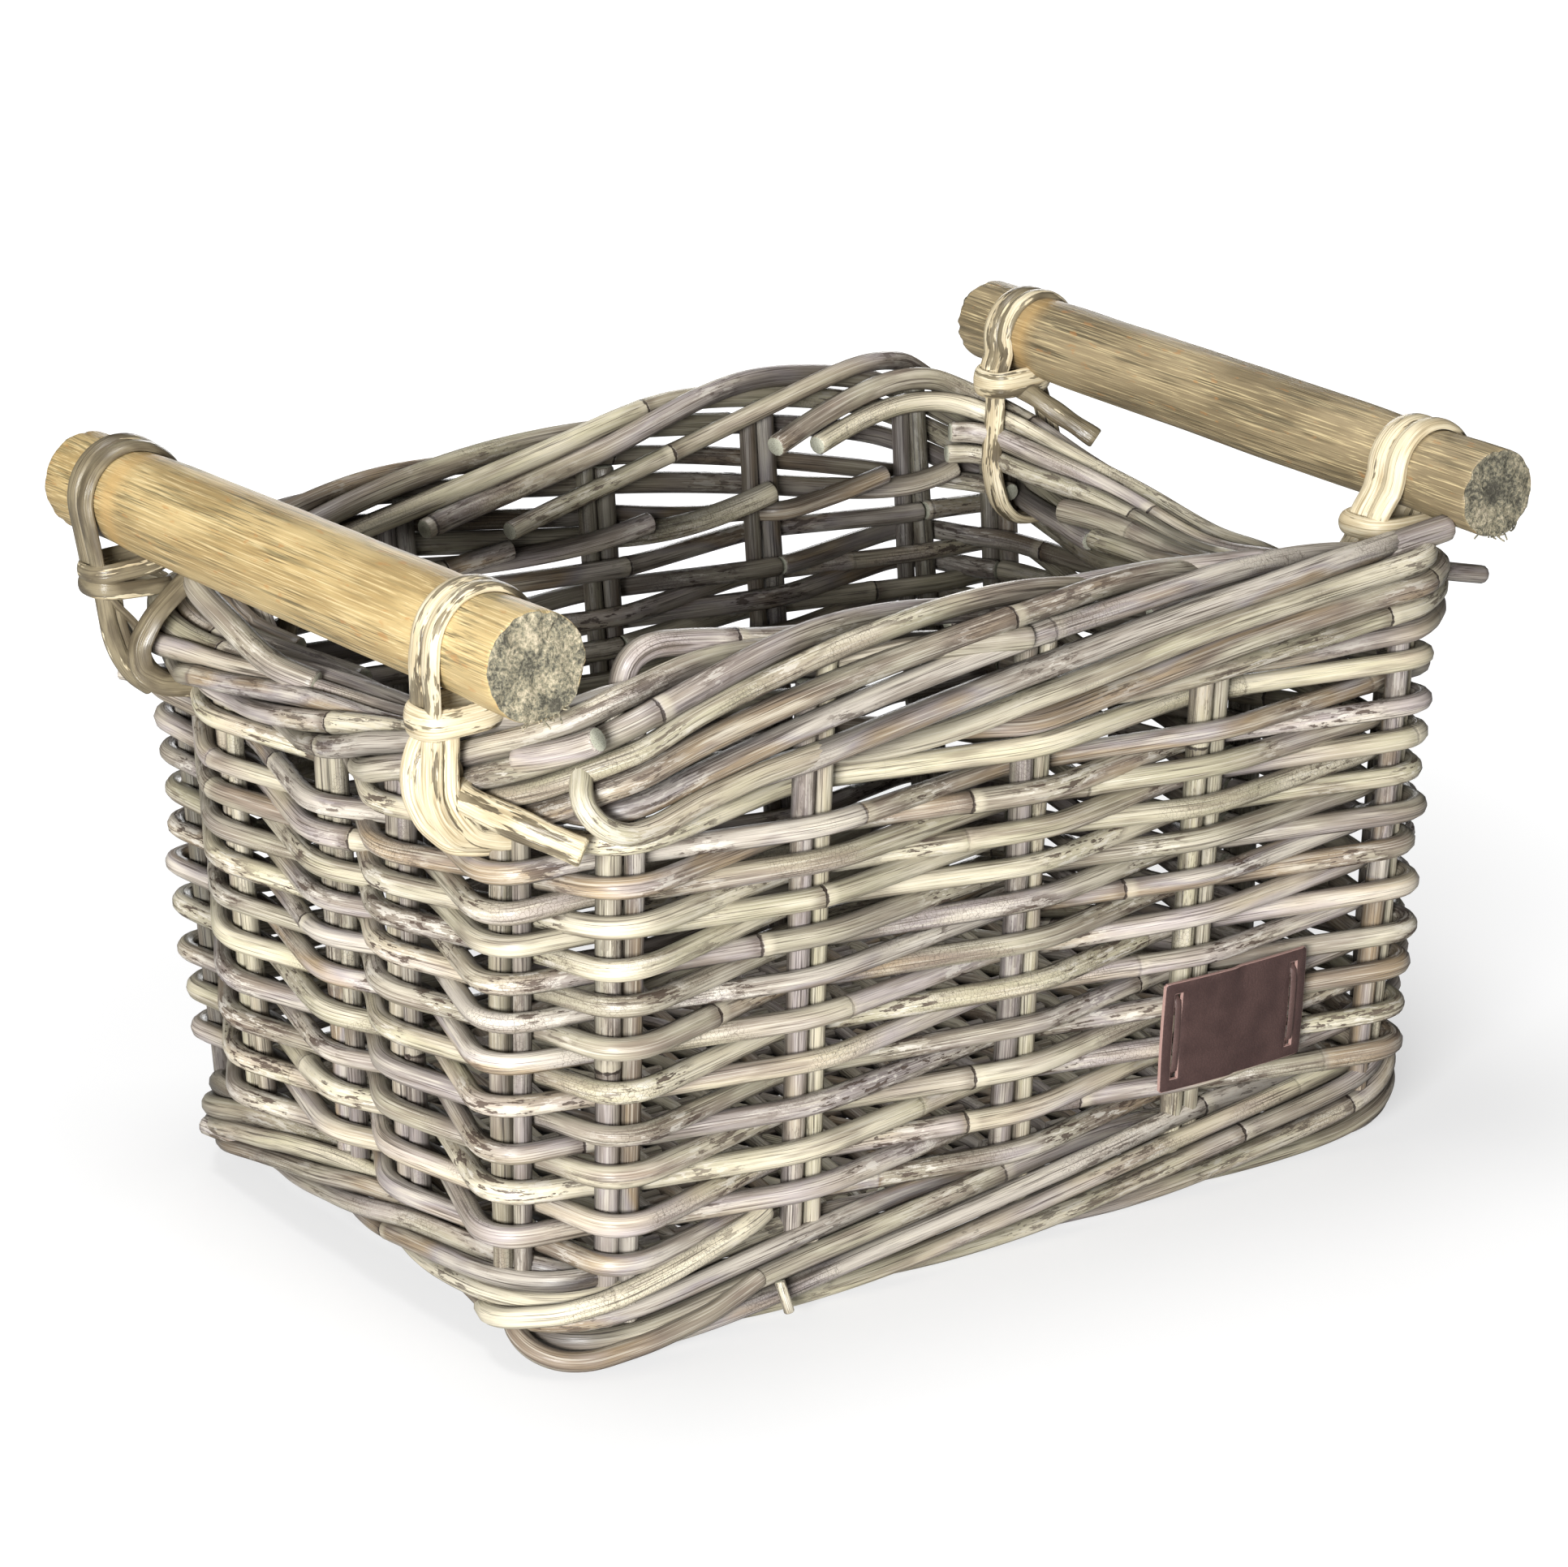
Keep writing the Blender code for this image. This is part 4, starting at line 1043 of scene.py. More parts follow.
# %% pole finish
POLE_INPUTS = (("Grain", VECTOR), ("Tint", VECTOR), ("Place", VECTOR), ("Pale", COLOUR), ("Deep", COLOUR),
               ("Olive", COLOUR), ("Sponge", FLOAT))
SPONGE_STOPS = ((0.34, linear(92, 88, 76)), (0.44, linear(140, 136, 116)), (0.54, linear(182, 172, 144)),
                (0.66, linear(222, 208, 180)))


def pole_group():
    """Colour, roughness and height of a shaved pole: fibres, olive and orange clouds, sponge ends."""
    tree, given, result = group("shaved_pole", POLE_INPUTS)
    grain, place = given["Grain"], given["Place"]
    spread, knot, cut = three_parts(tree, given["Tint"])
    fine = stretched_noise(tree, grain, (2100, 2100, 34), 3.0, 0.6)
    middle = stretched_noise(tree, grain, (900, 900, 20), 3.0)
    cloud = stretched_noise(tree, grain, (90, 90, 22), 3.0)
    skin = mix(tree, fade(tree, cloud, 0.36, 0.62), given["Pale"], given["Deep"])
    patch = fade(tree, stretched_noise(tree, grain, (130, 130, 26), 3.0), 0.40, 0.62, 0.25, 1.0)
    skin = mix(tree, product(tree, fade(tree, middle, 0.46, 0.62), patch, 0.75), skin, given["Olive"])
    skin = paint(tree, skin, product(tree, fade(tree, fine, 0.52, 0.64), patch, 0.80), 82, 72, 52)
    skin = paint(tree, skin, product(tree, fade(tree, fine, 0.47, 0.34), 0.55), 236, 216, 168)
    orange = fade(tree, stretched_noise(tree, grain, (420, 420, 130), 3.0), 0.62, 0.72)
    skin = paint(tree, skin, product(tree, orange, 0.45), 182, 128, 72)
    skin = paint(tree, skin, product(tree, knot, 0.55), 206, 168, 108)

    # The sawn ends: a sponge of pale and dark grains, a little darker towards the middle.
    coarse = noise(tree, place, 900.0, 5.0, 0.7)
    broad = noise(tree, place, 140.0, 3.0)
    value = total(tree, coarse, product(tree, maths(tree, "SUBTRACT", broad, 0.5), 0.55))
    value = maths(tree, "SUBTRACT", value, fade(tree, spread, 0.55, 0.0, 0.0, 0.10))
    is_end = fade(tree, cut, 0.45, 0.55)
    skin = mix(tree, is_end, skin, times(tree, ramp(tree, value, SPONGE_STOPS), given["Sponge"]))
    flat = product(tree, maths(tree, "SUBTRACT", 1.0, is_end), fine, 0.00020)
    height = total(tree, flat, product(tree, is_end, coarse, 0.0012))
    return give(tree, result, skin, fade(tree, is_end, 0.0, 1.0, 0.46, 0.9), height)


POLE = pole_group()


def pole_finish(name, pale, deep, olive, sponge):
    """A pole's material from three skin colours and the brightness of its ends."""
    return grouped_material(name, POLE, {"Pale": pale, "Deep": deep, "Olive": olive, "Sponge": sponge},
                            STEM_WIRING, placed_by_object=True)


left_pole_finish = pole_finish("pole_left_cane", linear(200, 176, 126), linear(172, 147, 100),
                               linear(114, 106, 76), 0.95)
right_pole_finish = pole_finish("pole_right_cane", linear(162, 145, 113), linear(134, 119, 91),
                                linear(98, 90, 71), 0.78)

# %% poles
POLE_SIDES = 96
POLE_RINGS = 70
POLE_SHARE = 0.985
FACE_SHARES = (0.06, 0.2, 0.34, 0.48, 0.62, 0.74, 0.85, 0.93, 0.975)
BEVEL_SHARE = 0.995
BEVEL_STEPS = (0.0004, 0.0012)
UNEVEN_ROUNDNESS = ((0.010, (1, 0.25, 1), 0.030), (0.004, (1, 0.2, 1), 0.007))
UNEVEN_FACES = ((0.00045, 1, 0.0035), (0.0005, 1, 0.012))
CHIPS = ((0.035, 1, 0.006),)
CHIP_LENGTH = 0.0020
KNOT_LENGTH = 0.005
SPLINTERS = 14
SPLINTER_RADIUS = 0.00028
SPLINTER_POINTS = 7
SPLINTER_ANGLES = (-1.45, 0.42)
SPLINTER_PLACE = 0.965
SPLINTER_LENGTHS = (0.0010, 0.0030)
SPLINTER_BOW = 0.0006
END_SLICE = 0.004


def ripples(points, size, seed, waves=24):
    """Smooth uneven values between about minus one and one: a sum of sine waves in many directions, whose
    lengths lie around the given size."""
    dice = np.random.default_rng(seed)
    ways = dice.normal(0, 1, (waves, 3))
    ways = ways / np.linalg.norm(ways, axis=1)[:, None] * 2 * np.pi / size
    ways = ways * dice.uniform(0.6, 1.6, (waves, 1))
    values = np.sin(points @ ways.T + dice.uniform(0, 6.28, waves)).sum(1)
    return values / np.sqrt(waves / 2) / 1.6


def node_points(name):
    """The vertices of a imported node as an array."""
    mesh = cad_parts[name].data
    points = np.empty(len(mesh.vertices) * 3)
    mesh.vertices.foreach_get("co", points)
    return points.reshape(-1, 3)


def pole_ends(name):
    """Middles of a packed pole's two end faces, and its radius."""
    points = node_points(name)
    low, high = points[:, 1].min(), points[:, 1].max()
    ends = []
    for edge in (low, high):
        near = points[np.abs(points[:, 1] - edge) < END_SLICE]
        ends.append((near.min(0) + near.max(0)) / 2)
    axis = (ends[1] - ends[0]) / np.linalg.norm(ends[1] - ends[0])
    ends[0] = ends[0] + axis * (low - ends[0][1])
    ends[1] = ends[1] + axis * (high - ends[1][1])
    away = points - ends[0]
    away = away - axis * (away @ axis)[:, None]
    return ends[0], ends[1], float(np.linalg.norm(away, axis=1).max())


def add_pole(name, node_name, finish, seed, waists, knot_place):
    """A pole as one grid of rings: point = axis point + radius (cos a, sin a), where the radius opens from
    nearly nought at each end face. The faces are pushed in and out, the edge is chipped, and at each waist,
    given as a place, a depth and a length, the pole is thinner."""
    near, far, radius = pole_ends(node_name)
    radius *= POLE_SHARE
    length = np.linalg.norm(far - near)
    axis = (far - near) / length
    side = np.cross(axis, (0, 0, 1.0))
    side /= np.linalg.norm(side)
    up = np.cross(side, axis)
    first, second = BEVEL_STEPS
    body = np.linspace(second, length - second, POLE_RINGS)
    count = len(FACE_SHARES)
    along = np.concatenate((np.zeros(count), (first,), body, (length - first,), np.full(count, length)))
    waist = sum(depth * np.exp(-((along - place) / long) ** 2) for place, depth, long in waists)
    opening = (*FACE_SHARES, BEVEL_SHARE)
    spread = np.concatenate((opening, np.ones(POLE_RINGS), opening[::-1])) * (1 - waist)
    knot = np.exp(-((along - knot_place) / KNOT_LENGTH) ** 2)
    cut = np.concatenate((np.ones(count), np.zeros(POLE_RINGS + 2), np.ones(count)))
    outline = circle(POLE_SIDES)
    reach = (radius * spread)[:, None, None]
    centre = near + along[:, None, None] * axis
    smooth = centre + reach * (outline[:, :1] * side + outline[:, 1:] * up)

    def uneven(layers, more):
        """Ripples for every point of the rings, as layers of height, stretch and size added together."""
        values = [height * ripples(smooth.reshape(-1, 3) * stretch, size, seed + more + number)
                  for number, (height, stretch, size) in enumerate(layers)]
        return sum(values).reshape(smooth.shape[:2])

    wide = 1 + uneven(UNEVEN_ROUNDNESS, 0)
    points = centre + (smooth - centre) * wide[..., None]
    relief = uneven(UNEVEN_FACES, 2)
    points = points + (cut[:, None] * relief)[..., None] * axis
    near_end = np.clip((np.abs(along - length / 2) - length / 2 + CHIP_LENGTH) / CHIP_LENGTH, 0, 1)
    chip = 1 - (near_end * (spread > 0.9))[:, None] * np.maximum(uneven(CHIPS, 4), 0)
    points = centre + (points - centre) * chip[..., None]
    grain = np.empty(points.shape)
    grain[..., :2] = reach * outline
    grain[..., 2] = along[:, None] + seed
    tint = np.repeat(np.stack((spread, knot, cut), axis=1)[:, None], POLE_SIDES, 1)
    ones = np.ones(points.shape[:2])
    grid = {"points": points, "grain": grain, "tint": tint, "ring": ones, "painted_shade_openness": ones}
    piece(name, node_name, [grid] + splinters(near, -axis, radius, seed), finish)


def splinters(centre, facing, radius, seed):
    """Frayed fibres at the lower edge of an end face: thin curved rods that stand off the edge."""
    dice = np.random.default_rng(seed + 9)
    steps = np.linspace(-0.3, 1, SPLINTER_POINTS)[:, None]
    out = np.tile((0.3, 0.2, 1.0), (SPLINTER_POINTS, 1))
    grids = []
    for _ in range(SPLINTERS):
        angle = dice.normal(*SPLINTER_ANGLES)
        root = centre + radius * SPLINTER_PLACE * np.array((np.cos(angle), 0.0, np.sin(angle)))
        way = facing * dice.uniform(0.2, 1.0) + dice.normal(0, 0.45, 3) + (0, 0, -0.25)
        way = way / np.linalg.norm(way) * dice.uniform(*SPLINTER_LENGTHS)
        path = root + way * steps + dice.normal(0, SPLINTER_BOW, 3) * steps ** 2
        grid = sweep(path, SPLINTER_RADIUS, out, circle(5), 0.9, 0.0, NO_JOINTS, 0.0)
        grid["tint"][..., 0] = 0.9
        grid["tint"][..., 2] = 1.0
        grids.append(grid)
    return grids


add_pole("pole_left_shaved", "pole_left", left_pole_finish, 3,
         ((0.033, 0.045, 0.016), (0.238, 0.055, 0.020)), 0.222)
add_pole("pole_right_shaved", "pole_right", right_pole_finish, 5,
         ((0.037, 0.050, 0.016), (0.238, 0.035, 0.014)), 0.230)
print("poles made")

# %% [markdown]
# ## Lashings
# Half-round cane ties each pole to the rim. A lashing is a loop of one or two strands: over the pole,
# through a neck at the pole's left, and round the rim. A collar of the same cane binds the neck. Straps and
# loose ends that the photograph shows apart from the loop are given point by point.

# %% cane finish


def cane_group():
    """Colour, roughness and height of split cane: cream inside, with olive skin left on part of it."""
    tree, given, result = group("split_cane", (("Grain", VECTOR), ("Tint", VECTOR)))
    grain = given["Grain"]
    _, tone, cut = three_parts(tree, given["Tint"])
    cloud = stretched_noise(tree, grain, (220, 220, 60), 3.0)
    skin = mix(tree, fade(tree, cloud, 0.36, 0.64), linear(224, 211, 179), linear(196, 180, 147))
    fine = stretched_noise(tree, grain, (2000, 2000, 24), 2.0, 0.6)
    lines = fade(tree, fine, 0.53, 0.64)
    skin = paint(tree, skin, product(tree, lines, 0.6), 138, 120, 88)
    skin = paint(tree, skin, product(tree, fade(tree, fine, 0.45, 0.36), 0.5), 240, 233, 210)
    left_on = stretched_noise(tree, grain, (330, 330, 50), 4.0, 0.6)
    level = maths(tree, "SUBTRACT", 0.74, product(tree, tone, 0.42))
    rind = fade(tree, maths(tree, "SUBTRACT", left_on, level), -0.015, 0.015)
    bark = mix(tree, fade(tree, cloud, 0.40, 0.62), linear(137, 126, 102), linear(98, 88, 70))
    bark = paint(tree, bark, product(tree, lines, 0.5), 76, 66, 52)
    skin = mix(tree, rind, skin, bark)
    skin = paint(tree, skin, fade(tree, cut, 0.45, 0.55), 214, 200, 160)
    height = total(tree, product(tree, fine, 0.0003), product(tree, rind, 0.00015))
    return give(tree, result, skin, fade(tree, rind, 0.0, 1.0, 0.40, 0.30), height)


cane_finish = grouped_material("flat_cane", cane_group(), {}, STEM_WIRING)

# %% lashings
NEAR_LEFT_TAILS = (
    (3.2, 0.35, 0.7, (-0.75, -0.66, 0), ((-185.6, -94, 200), (-186.4, -94, 189.1), (-187, -94, 182.3),
        (-187, -94, 175.3), (-184.5, -94, 168.4), (-178.8, -93.5, 161.6), (-169, -92.5, 158.5),
        (-160, -92, 159))),
    (3.2, 0.35, 0.7, (-0.6, -0.8, 0), ((-181.6, -95, 200), (-181.6, -95, 188.5), (-182.2, -95, 181.6),
        (-182.2, -95, 175.3), (-179.9, -96, 169.4), (-174.5, -96, 162.4), (-165, -96, 159),
        (-157, -95, 159))),
    (3.6, 0.2, 0.5, (-0.8, -0.55, 0.2), ((-180, -90, 199), (-184.8, -90, 194.8), (-189, -90, 188.8),
        (-190.8, -90, 182.2), (-190.4, -90, 175.2), (-187, -90, 167.3), (-179.5, -90, 160),
        (-168, -90, 157.5), (-159, -90, 159))),
    (4.4, 0.5, 0.7, (-0.7, -0.6, 0.3), ((-172, -86, 176), (-178.5, -94, 174.5), (-177.5, -105, 173.5),
        (-172.5, -116, 170.5), (-161, -129, 164))))
FAR_LEFT_TAILS = (
    (3.1, 0.9, 0.7, (-0.75, -0.66, 0), ((-188, 100, 196), (-187.2, 100, 185.6), (-185.8, 100, 177.6),
        (-183.3, 100, 170.2), (-179.8, 100, 164.3), (-174, 99, 160))),
    (3.1, 0.8, 0.7, (-0.75, -0.66, 0), ((-185.3, 100, 195), (-184, 100, 184.5), (-182.3, 100, 176.7),
        (-179.9, 100, 170.1), (-176.6, 100, 164.8), (-170, 99, 161))),
    (4, 0.9, 0.4, (-0.8, -0.5, 0.6), ((-158, 90, 198), (-166, 90, 193), (-176, 90, 185),
        (-181.5, 91, 176), (-181.5, 90, 168), (-175, 88, 163), (-165, 87, 161.5))))
FAR_RIGHT_TAILS = (
    (3.6, 0.9, 0.7, (-0.4, -0.8, 0.5), ((160, 100, 208.5), (166, 95, 204), (173, 88, 197),
        (181.5, 79, 189))),)
ABOVE_POLE = 0.0003
RIM_SLICE = 0.010
STRAND_SPACING = 0.97
COLLAR_POINTS = 72
COLLAR_SQUARENESS = 0.65


def half_round(height, facets=10):
    """A strip's cross-section: flat below, domed above."""
    angle = np.linspace(0, np.pi, facets)
    dome = np.column_stack((np.cos(angle), height * np.sin(angle)))
    return np.vstack((dome, ((-0.93, -0.12), (0.93, -0.12))))


def strand(path, out, half_width, bark, thick=0.62, offset=0.0):
    """One strip of cane along a path, moved sideways by the offset."""
    along = directions(path)
    across = unit_across(out, along)
    path = path + np.cross(across, along) * offset
    wave = np.linspace(0, rng.uniform(9, 16), len(path)) + rng.uniform(0, 6)
    size = half_width * (1 + 0.05 * np.sin(wave))
    return sweep(path, size, across, half_round(thick), rng.uniform(0, 1), bark, NO_JOINTS, 0.0)


def rim_reach(side, across, beyond):
    """Low and high corners (x, z) of the rim's rods near one place of a short side, beyond a distance."""
    points = rim_paths.reshape(-1, 3)
    near = points[(points[:, 0] * side > beyond) & (np.abs(points[:, 1] - across) < RIM_SLICE)][:, [0, 2]]
    return near.min(0) - RIM_ROD_RADIUS, near.max(0) + RIM_ROD_RADIUS


def lashing_loop(pole, side, head, foot, neck, neck_width, bulge, beyond):
    """The loop's path and outward directions. In the x-z plane it is an arc over the pole and a box round the
    rim, joined at the neck. It leans: y goes evenly from the head to the foot with the way down."""
    near, far, radius = pole_ends(pole)
    share = (head - near[1]) / (far[1] - near[1])
    centre = (near + (far - near) * share)[[0, 2]]
    low, high = rim_reach(side, (head + 3 * foot) / 4, beyond)
    angle = np.radians(np.linspace(200, -52, 16))
    arc = centre + (radius + ABOVE_POLE) * np.column_stack((np.cos(angle), np.sin(angle)))
    down = ((neck[0] + neck_width, neck[1]), (high[0], high[1] - 0.004), (high[0] + 0.0005, low[1] + 0.006),
            (high[0] - 0.005, low[1] - 0.0004), (low[0] + 0.005, low[1] - 0.0004))
    up = ((low[0] - 0.5 * bulge, low[1] + 0.004), (low[0] - bulge, (low[1] + high[1]) / 2),
          (neck[0] + 0.0003, neck[1] - 0.006), (neck[0], neck[1] + 0.002))
    flat = np.vstack((arc, down, up))
    upright = np.column_stack((flat[:, 0], np.zeros(len(flat)), flat[:, 1]))
    path = smooth_path(upright, 0.0015, 12, closed=True)
    along = directions(path)
    out = np.column_stack((-along[:, 2], np.zeros(len(path)), along[:, 0]))
    fall = np.clip((centre[1] - path[:, 2]) / (centre[1] - low[1]), 0, 1)
    path[:, 1] = head + (foot - head) * fall
    below = np.flatnonzero(path[:, 2] < neck[1])
    return path, out, fall, below[0], below[-1]


def collar(middle, half_length, half_width, half_height, bark, tilt=0.0, thick=0.5):
    """A turn of cane round the neck: a long level ring with round corners."""
    angle = np.linspace(0, 2 * np.pi, COLLAR_POINTS) + 2.0
    cos, sin = np.cos(angle), np.sin(angle)
    long, wide = (np.sign(value) * np.abs(value) ** COLLAR_SQUARENESS for value in (cos, sin))
    path = np.column_stack((half_length * long, half_width * wide, tilt * cos)) + middle
    for _ in range(3):
        path[1:-1] = (path[:-2] + 2 * path[1:-1] + path[2:]) / 4
    along = directions(path)
    return strand(path, np.column_stack((along[:, 1], -along[:, 0], 0 * cos)), half_height, bark, thick)


def tail(half_width, bark, thick, out, points):
    """A strip of cane through given points. Points and half width are in millimetres."""
    path = smooth_path(np.array(points) / 1000, 0.0012, 6)
    return strand(path, np.tile(out, (len(path), 1)), half_width / 1000, bark, thick)


def add_lashing(name, pole, side, head, foot, neck, neck_width, upper, lower, bark, collars, tails=(),
                turn=0.0, bulge=0.001, beyond=0.12):
    """One lashing. Upper and lower give how many strands lie side by side over the pole and round the rim,
    and their half width. The turn points the lower strands' faces towards the front."""
    loose = [tail(*row) for row in tails]
    path, out, fall, start, stop = lashing_loop(pole, side, head, foot, neck, neck_width, bulge, beyond)
    lower_share = np.clip((fall - 0.45) / 0.2, 0, 1) * np.clip(-out[:, 0], 0, 1)
    out[:, 1] = -turn * lower_share
    top = np.concatenate((np.arange(stop - 2, len(path)), np.arange(start + 3)))
    bottom = np.arange(start - 3, stop + 3)
    grids = []
    for rows, (count, half_width) in ((top, upper), (bottom, lower)):
        for k in range(count):
            offset = (k - (count - 1) / 2) * 2 * half_width * STRAND_SPACING
            moved = path[rows] + rng.normal(0, 0.0002, 3)
            grids.append(strand(moved, out[rows], half_width, bark, 0.60, offset))
    across = path[[start, stop], 1].mean()
    wide = max(count * half_width for count, half_width in (upper, lower))
    for up, half_height, tilt, thick in collars:
        middle = np.array((neck[0] + neck_width / 2, across, neck[1] + up))
        grids.append(collar(middle, neck_width / 2 + 0.0030, wide + 0.0010, half_height, bark * 0.8, tilt,
                            thick))
    piece(name, "lashing_" + name.split("_", 1)[1], grids + loose, cane_finish)


add_lashing("cane_near_left", "pole_left", -1, -0.0999, -0.0800, (-0.1868, 0.1980), 0.018, (2, 0.0037),
            (2, 0.0031), 0.50, [(0.0, 0.0046, 0.0008, 0.40)], NEAR_LEFT_TAILS, 0.9, 0.0015)
add_lashing("cane_far_left", "pole_left", -1, 0.1060, 0.0990, (-0.1885, 0.1985), 0.020, (2, 0.0039),
            (2, 0.0031), 0.95, [(0.0010, 0.0030, 0.0014, 0.5), (-0.0056, 0.0028, -0.0010, 0.5)],
            FAR_LEFT_TAILS)
add_lashing("cane_near_right", "pole_right", 1, -0.0960, -0.0850, (0.1530, 0.1985), 0.022, (2, 0.0044),
            (2, 0.0036), 0.25, [(-0.001, 0.0036, 0.0, 0.8)])
add_lashing("cane_far_right", "pole_right", 1, 0.1085, 0.0900, (0.1565, 0.2085), 0.017, (2, 0.0037),
            (1, 0.0048), 0.55, [(0.0, 0.0048, 0.001, 0.4)], FAR_RIGHT_TAILS, beyond=0.1535)
print("lashings made")

# %% [markdown]
# ## Label
# A leather label is laced to the front. It is one sheet with two slots, and a lace shows in each.

# %% label


def leather_group():
    """Colour, roughness and height of brown leather, paler and pinker at its cut edges."""
    tree, given, result = group("brown_leather", (("Place", VECTOR), ("Edge", FLOAT)))
    place = given["Place"]
    cloud = noise(tree, place, 90.0, 4.0)
    grains = node(tree, "ShaderNodeTexVoronoi", {}, {"Vector": place, "Scale": 1500.0}).outputs["Distance"]
    skin = mix(tree, fade(tree, cloud, 0.35, 0.65), linear(66, 46, 43), linear(80, 58, 54))
    skin = paint(tree, skin, product(tree, fade(tree, grains, 0.2, 0.6), 0.25), 50, 34, 32)
    skin = paint(tree, skin, fade(tree, given["Edge"], 0.55, 0.95), 168, 136, 128)
    return give(tree, result, skin, fade(tree, cloud, 0.3, 0.7, 0.50, 0.62), product(tree, grains, -0.00010))


LEATHER = leather_group()
label_finish, lace_finish = [
    grouped_material(name, LEATHER, {}, {"Edge": ("edge", "Fac")}, placed_by_object=True)
    for name in ("label_leather", "lace_leather")]
LABEL_HALF = (0.02825, 0.0181)
LABEL_THICK = 0.0016
LABEL_MIDDLE = (0.018, 0.0115)
SLOT_PLACE = 0.02305
SLOT_HALF = (0.0014, 0.01425)
SLOT_BORDERS = (0.004, 0.0021)
EDGE_STEPS = (0.0022, 0.0006)
CORNER_CUT = 0.0005
EDGE_DROP = 0.0003
LABEL_BOWS = (0.0009, 0.0004)
LACE_EDGE = 0.62
LACE_POINTS = 24
LACE_HALF_WIDTH = 0.00120


def add_label():
    """A grid of cells without those in the slots, once for the front and once for the back, and walls between
    the two along every edge. Border points lie a little back, which rounds the edges."""
    low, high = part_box("label")
    centre = np.array((low + high) / 2)
    right = np.array((1.0, 0.0, 0.0))
    up = np.array((0.0, -LEAN[1], 1.0)) / np.hypot(LEAN[1], 1)
    facing = np.array((0.0, -1.0, -LEAN[1])) / np.hypot(LEAN[1], 1)
    wide, tall = LABEL_HALF
    slot_wide, slot_tall = SLOT_HALF
    far, near = SLOT_BORDERS
    inner, outer = EDGE_STEPS
    around = SLOT_PLACE + np.array((-far, -near, -slot_wide, -slot_wide / 2, 0, slot_wide / 2, slot_wide,
                                    near))
    right_part = np.concatenate((around, (wide - inner, wide - outer, wide)))
    top = np.array((0.0124, slot_tall, slot_tall + 0.0007, tall - inner, tall - outer, tall))
    xs = np.concatenate((-right_part[::-1], np.linspace(-LABEL_MIDDLE[0], LABEL_MIDDLE[0], 25), right_part))
    zs = np.concatenate((-top[::-1], np.linspace(-LABEL_MIDDLE[1], LABEL_MIDDLE[1], 15), top))
    grid_x, grid_z = np.meshgrid(xs, zs, indexing="ij")
    mid_x, mid_z = (xs[1:] + xs[:-1]) / 2, (zs[1:] + zs[:-1]) / 2
    in_slot = np.abs(np.abs(mid_x)[:, None] - SLOT_PLACE) < slot_wide
    keep = ~(in_slot & (np.abs(mid_z)[None] < slot_tall))
    padded = np.pad(keep, 1)
    border = ~(padded[:-1, :-1] & padded[1:, :-1] & padded[:-1, 1:] & padded[1:, 1:])
    corner = (np.abs(grid_x) == wide) & (np.abs(grid_z) == tall)
    x, z = (grid - np.sign(grid) * corner * CORNER_CUT for grid in (grid_x, grid_z))
    bow = LABEL_BOWS[0] * (1 - (x / wide) ** 2) - LABEL_BOWS[1] * (z / tall) ** 2 * np.sign(x)
    sheets = []
    for level in (LABEL_THICK / 2, -LABEL_THICK / 2):
        lift = bow + level - np.sign(level) * border * EDGE_DROP
        sheets.append(centre + x[..., None] * right + z[..., None] * up + lift[..., None] * facing)
    count = x.size
    index = np.arange(count).reshape(x.shape)
    i, j = np.nonzero(keep)
    quads = np.column_stack((index[i, j], index[i + 1, j], index[i + 1, j + 1], index[i, j + 1]))
    edges = np.concatenate([quads[:, [k, (k + 1) % 4]] for k in range(4)])
    one_way = edges[:, 0] * count + edges[:, 1]
    other_way = edges[:, 1] * count + edges[:, 0]
    rim = edges[~np.isin(one_way, other_way)]
    walls = np.column_stack((rim[:, 1], rim[:, 0], rim[:, 0] + count, rim[:, 1] + count))
    faces = quads.tolist() + (quads[:, ::-1] + count).tolist() + walls.tolist()
    mesh = bpy.data.meshes.new("label_sheet")
    mesh.from_pydata(np.concatenate([sheet.reshape(-1, 3) for sheet in sheets]).tolist(), [], faces)
    write_layer(mesh, "edge", np.tile(border.reshape(-1), 2))
    dressed("label_sheet", "label", mesh, label_finish)
    for side, word in ((-1, "left"), (1, "right")):
        reach = np.linspace(-1, 1, LACE_POINTS)
        rise = 0.0002 + 0.0010 * (1 - reach ** 4) - 0.0012 * (np.abs(reach) > 0.9)
        path = centre + side * SLOT_PLACE * right + reach[:, None] * (slot_tall - 0.0003) * up
        path = path + rise[:, None] * facing
        grid = sweep(path, LACE_HALF_WIDTH, np.tile(facing, (LACE_POINTS, 1)), half_round(0.45), 0.5, 0.5,
                     NO_JOINTS, 0.0)
        lace = piece("lace_" + word, "label_lace_" + word, [grid], lace_finish)
        write_layer(lace.data, "edge", np.full(len(lace.data.vertices), LACE_EDGE))


add_label()

# %% [markdown]
# ## Floor and light
# A plain pale floor and soft light from large lamps. Camera rays that miss the object see plain white.

# %% floor and light


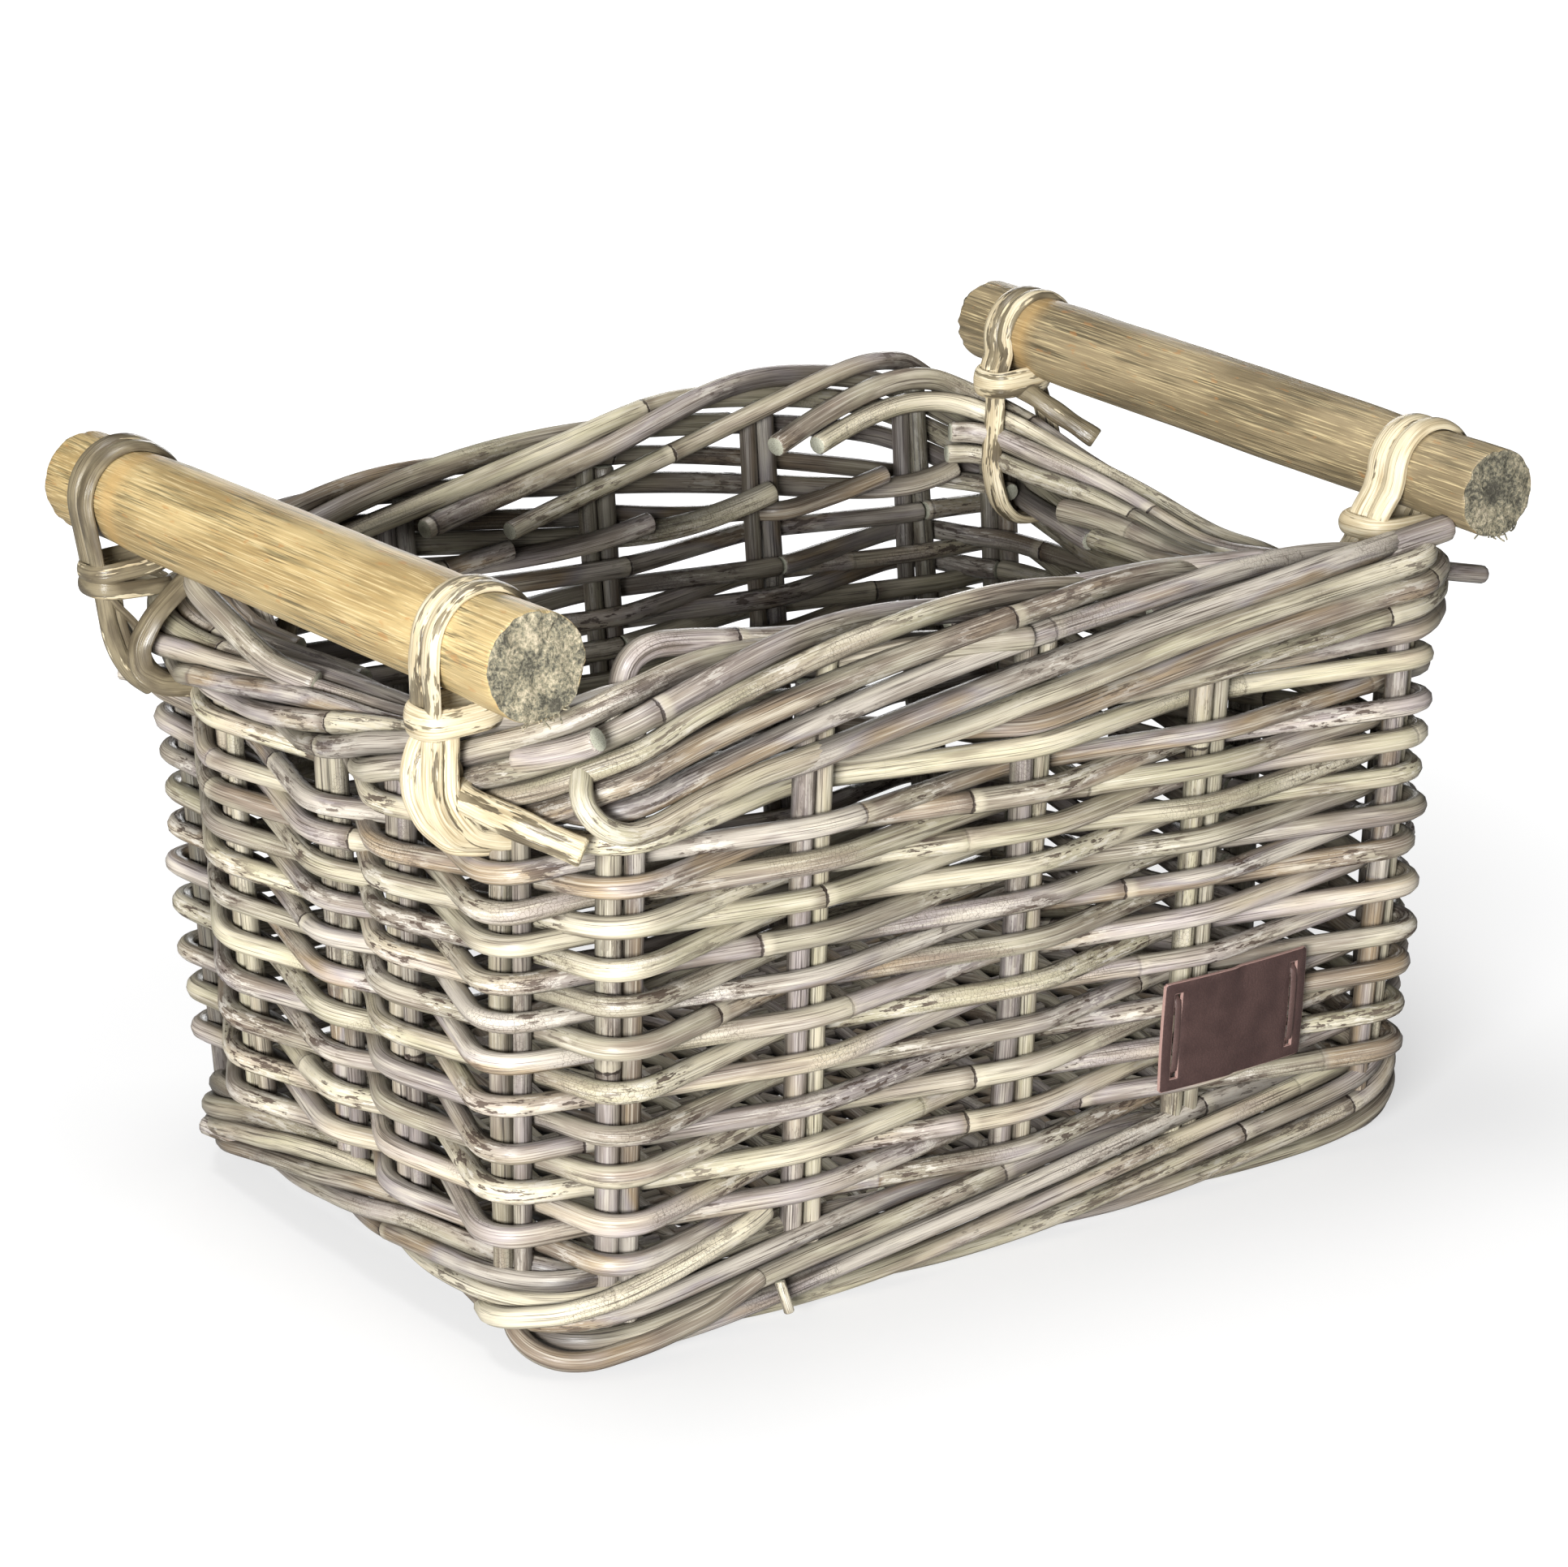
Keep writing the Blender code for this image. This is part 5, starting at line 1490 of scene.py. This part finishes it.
def floor_material():
    """A matte pale floor. To the camera it also gives off a little light, more so away from the basket, so it
    looks white there and still takes the basket's shadow."""
    made = bpy.data.materials.new("pale_floor")
    made.use_nodes = True
    tree = made.node_tree
    shader = tree.nodes["Principled BSDF"]
    shader.inputs["Base Color"].default_value = (0.40, 0.40, 0.40, 1.0)
    shader.inputs["Roughness"].default_value = 1.0
    shader.inputs["Specular IOR Level"].default_value = 0.0
    shader.inputs["Emission Color"].default_value = (1.0, 1.0, 1.0, 1.0)
    place = node(tree, "ShaderNodeTexCoord")
    far = node(tree, "ShaderNodeVectorMath", {"operation": "LENGTH"}, {0: place.outputs["Object"]})
    light = fade(tree, far.outputs["Value"], 0.18, 0.75, 0.60, 1.0)
    rays = node(tree, "ShaderNodeLightPath").outputs
    tree.links.new(product(tree, rays["Is Camera Ray"], light), shader.inputs["Emission Strength"])
    return made


floor_mesh = bpy.data.meshes.new("floor")
floor_mesh.from_pydata([(-6, -6, 0), (6, -6, 0), (6, 6, 0), (-6, 6, 0)], [], [(0, 1, 2, 3)])
floor_mesh.materials.append(floor_material())
placed("floor", floor_mesh)


def area_light(name, place, target, width, height, power):
    """A rectangular lamp that faces a point."""
    lamp = bpy.data.lights.new(name, "AREA")
    lamp.shape = "RECTANGLE"
    lamp.energy = power
    lamp.size = width
    lamp.size_y = height
    thing = placed(name, lamp)
    thing.location = place
    thing.rotation_euler = (Vector(target) - Vector(place)).to_track_quat("-Z", "Y").to_euler()


area_light("key", (-1.68, -1.45, 0.60), (0, 0, 0.1), 0.8, 0.4, 84)
area_light("front", (0.5, -2.2, 0.50), (0, 0, 0.1), 0.7, 0.4, 5)
area_light("back", (1.4, 2.0, 0.55), (0, 0, 0.1), 0.9, 0.5, 10)
area_light("top", (-0.3, 0.15, 2.2), (0, 0, 0.1), 0.9, 0.9, 24)

world = bpy.context.scene.world or bpy.data.worlds.new("world")
bpy.context.scene.world = world
world.use_nodes = True
sky = world.node_tree
sky.nodes.clear()
rays = node(sky, "ShaderNodeLightPath")
strength = fade(sky, rays.outputs["Is Camera Ray"], 0.0, 1.0, 0.045, 1.0)
backdrop = node(sky, "ShaderNodeBackground", {}, {"Color": (1.0, 1.0, 1.0, 1.0), "Strength": strength})
node(sky, "ShaderNodeOutputWorld", {}, {"Surface": backdrop.outputs[0]})
bpy.context.scene.view_settings.view_transform = "Standard"
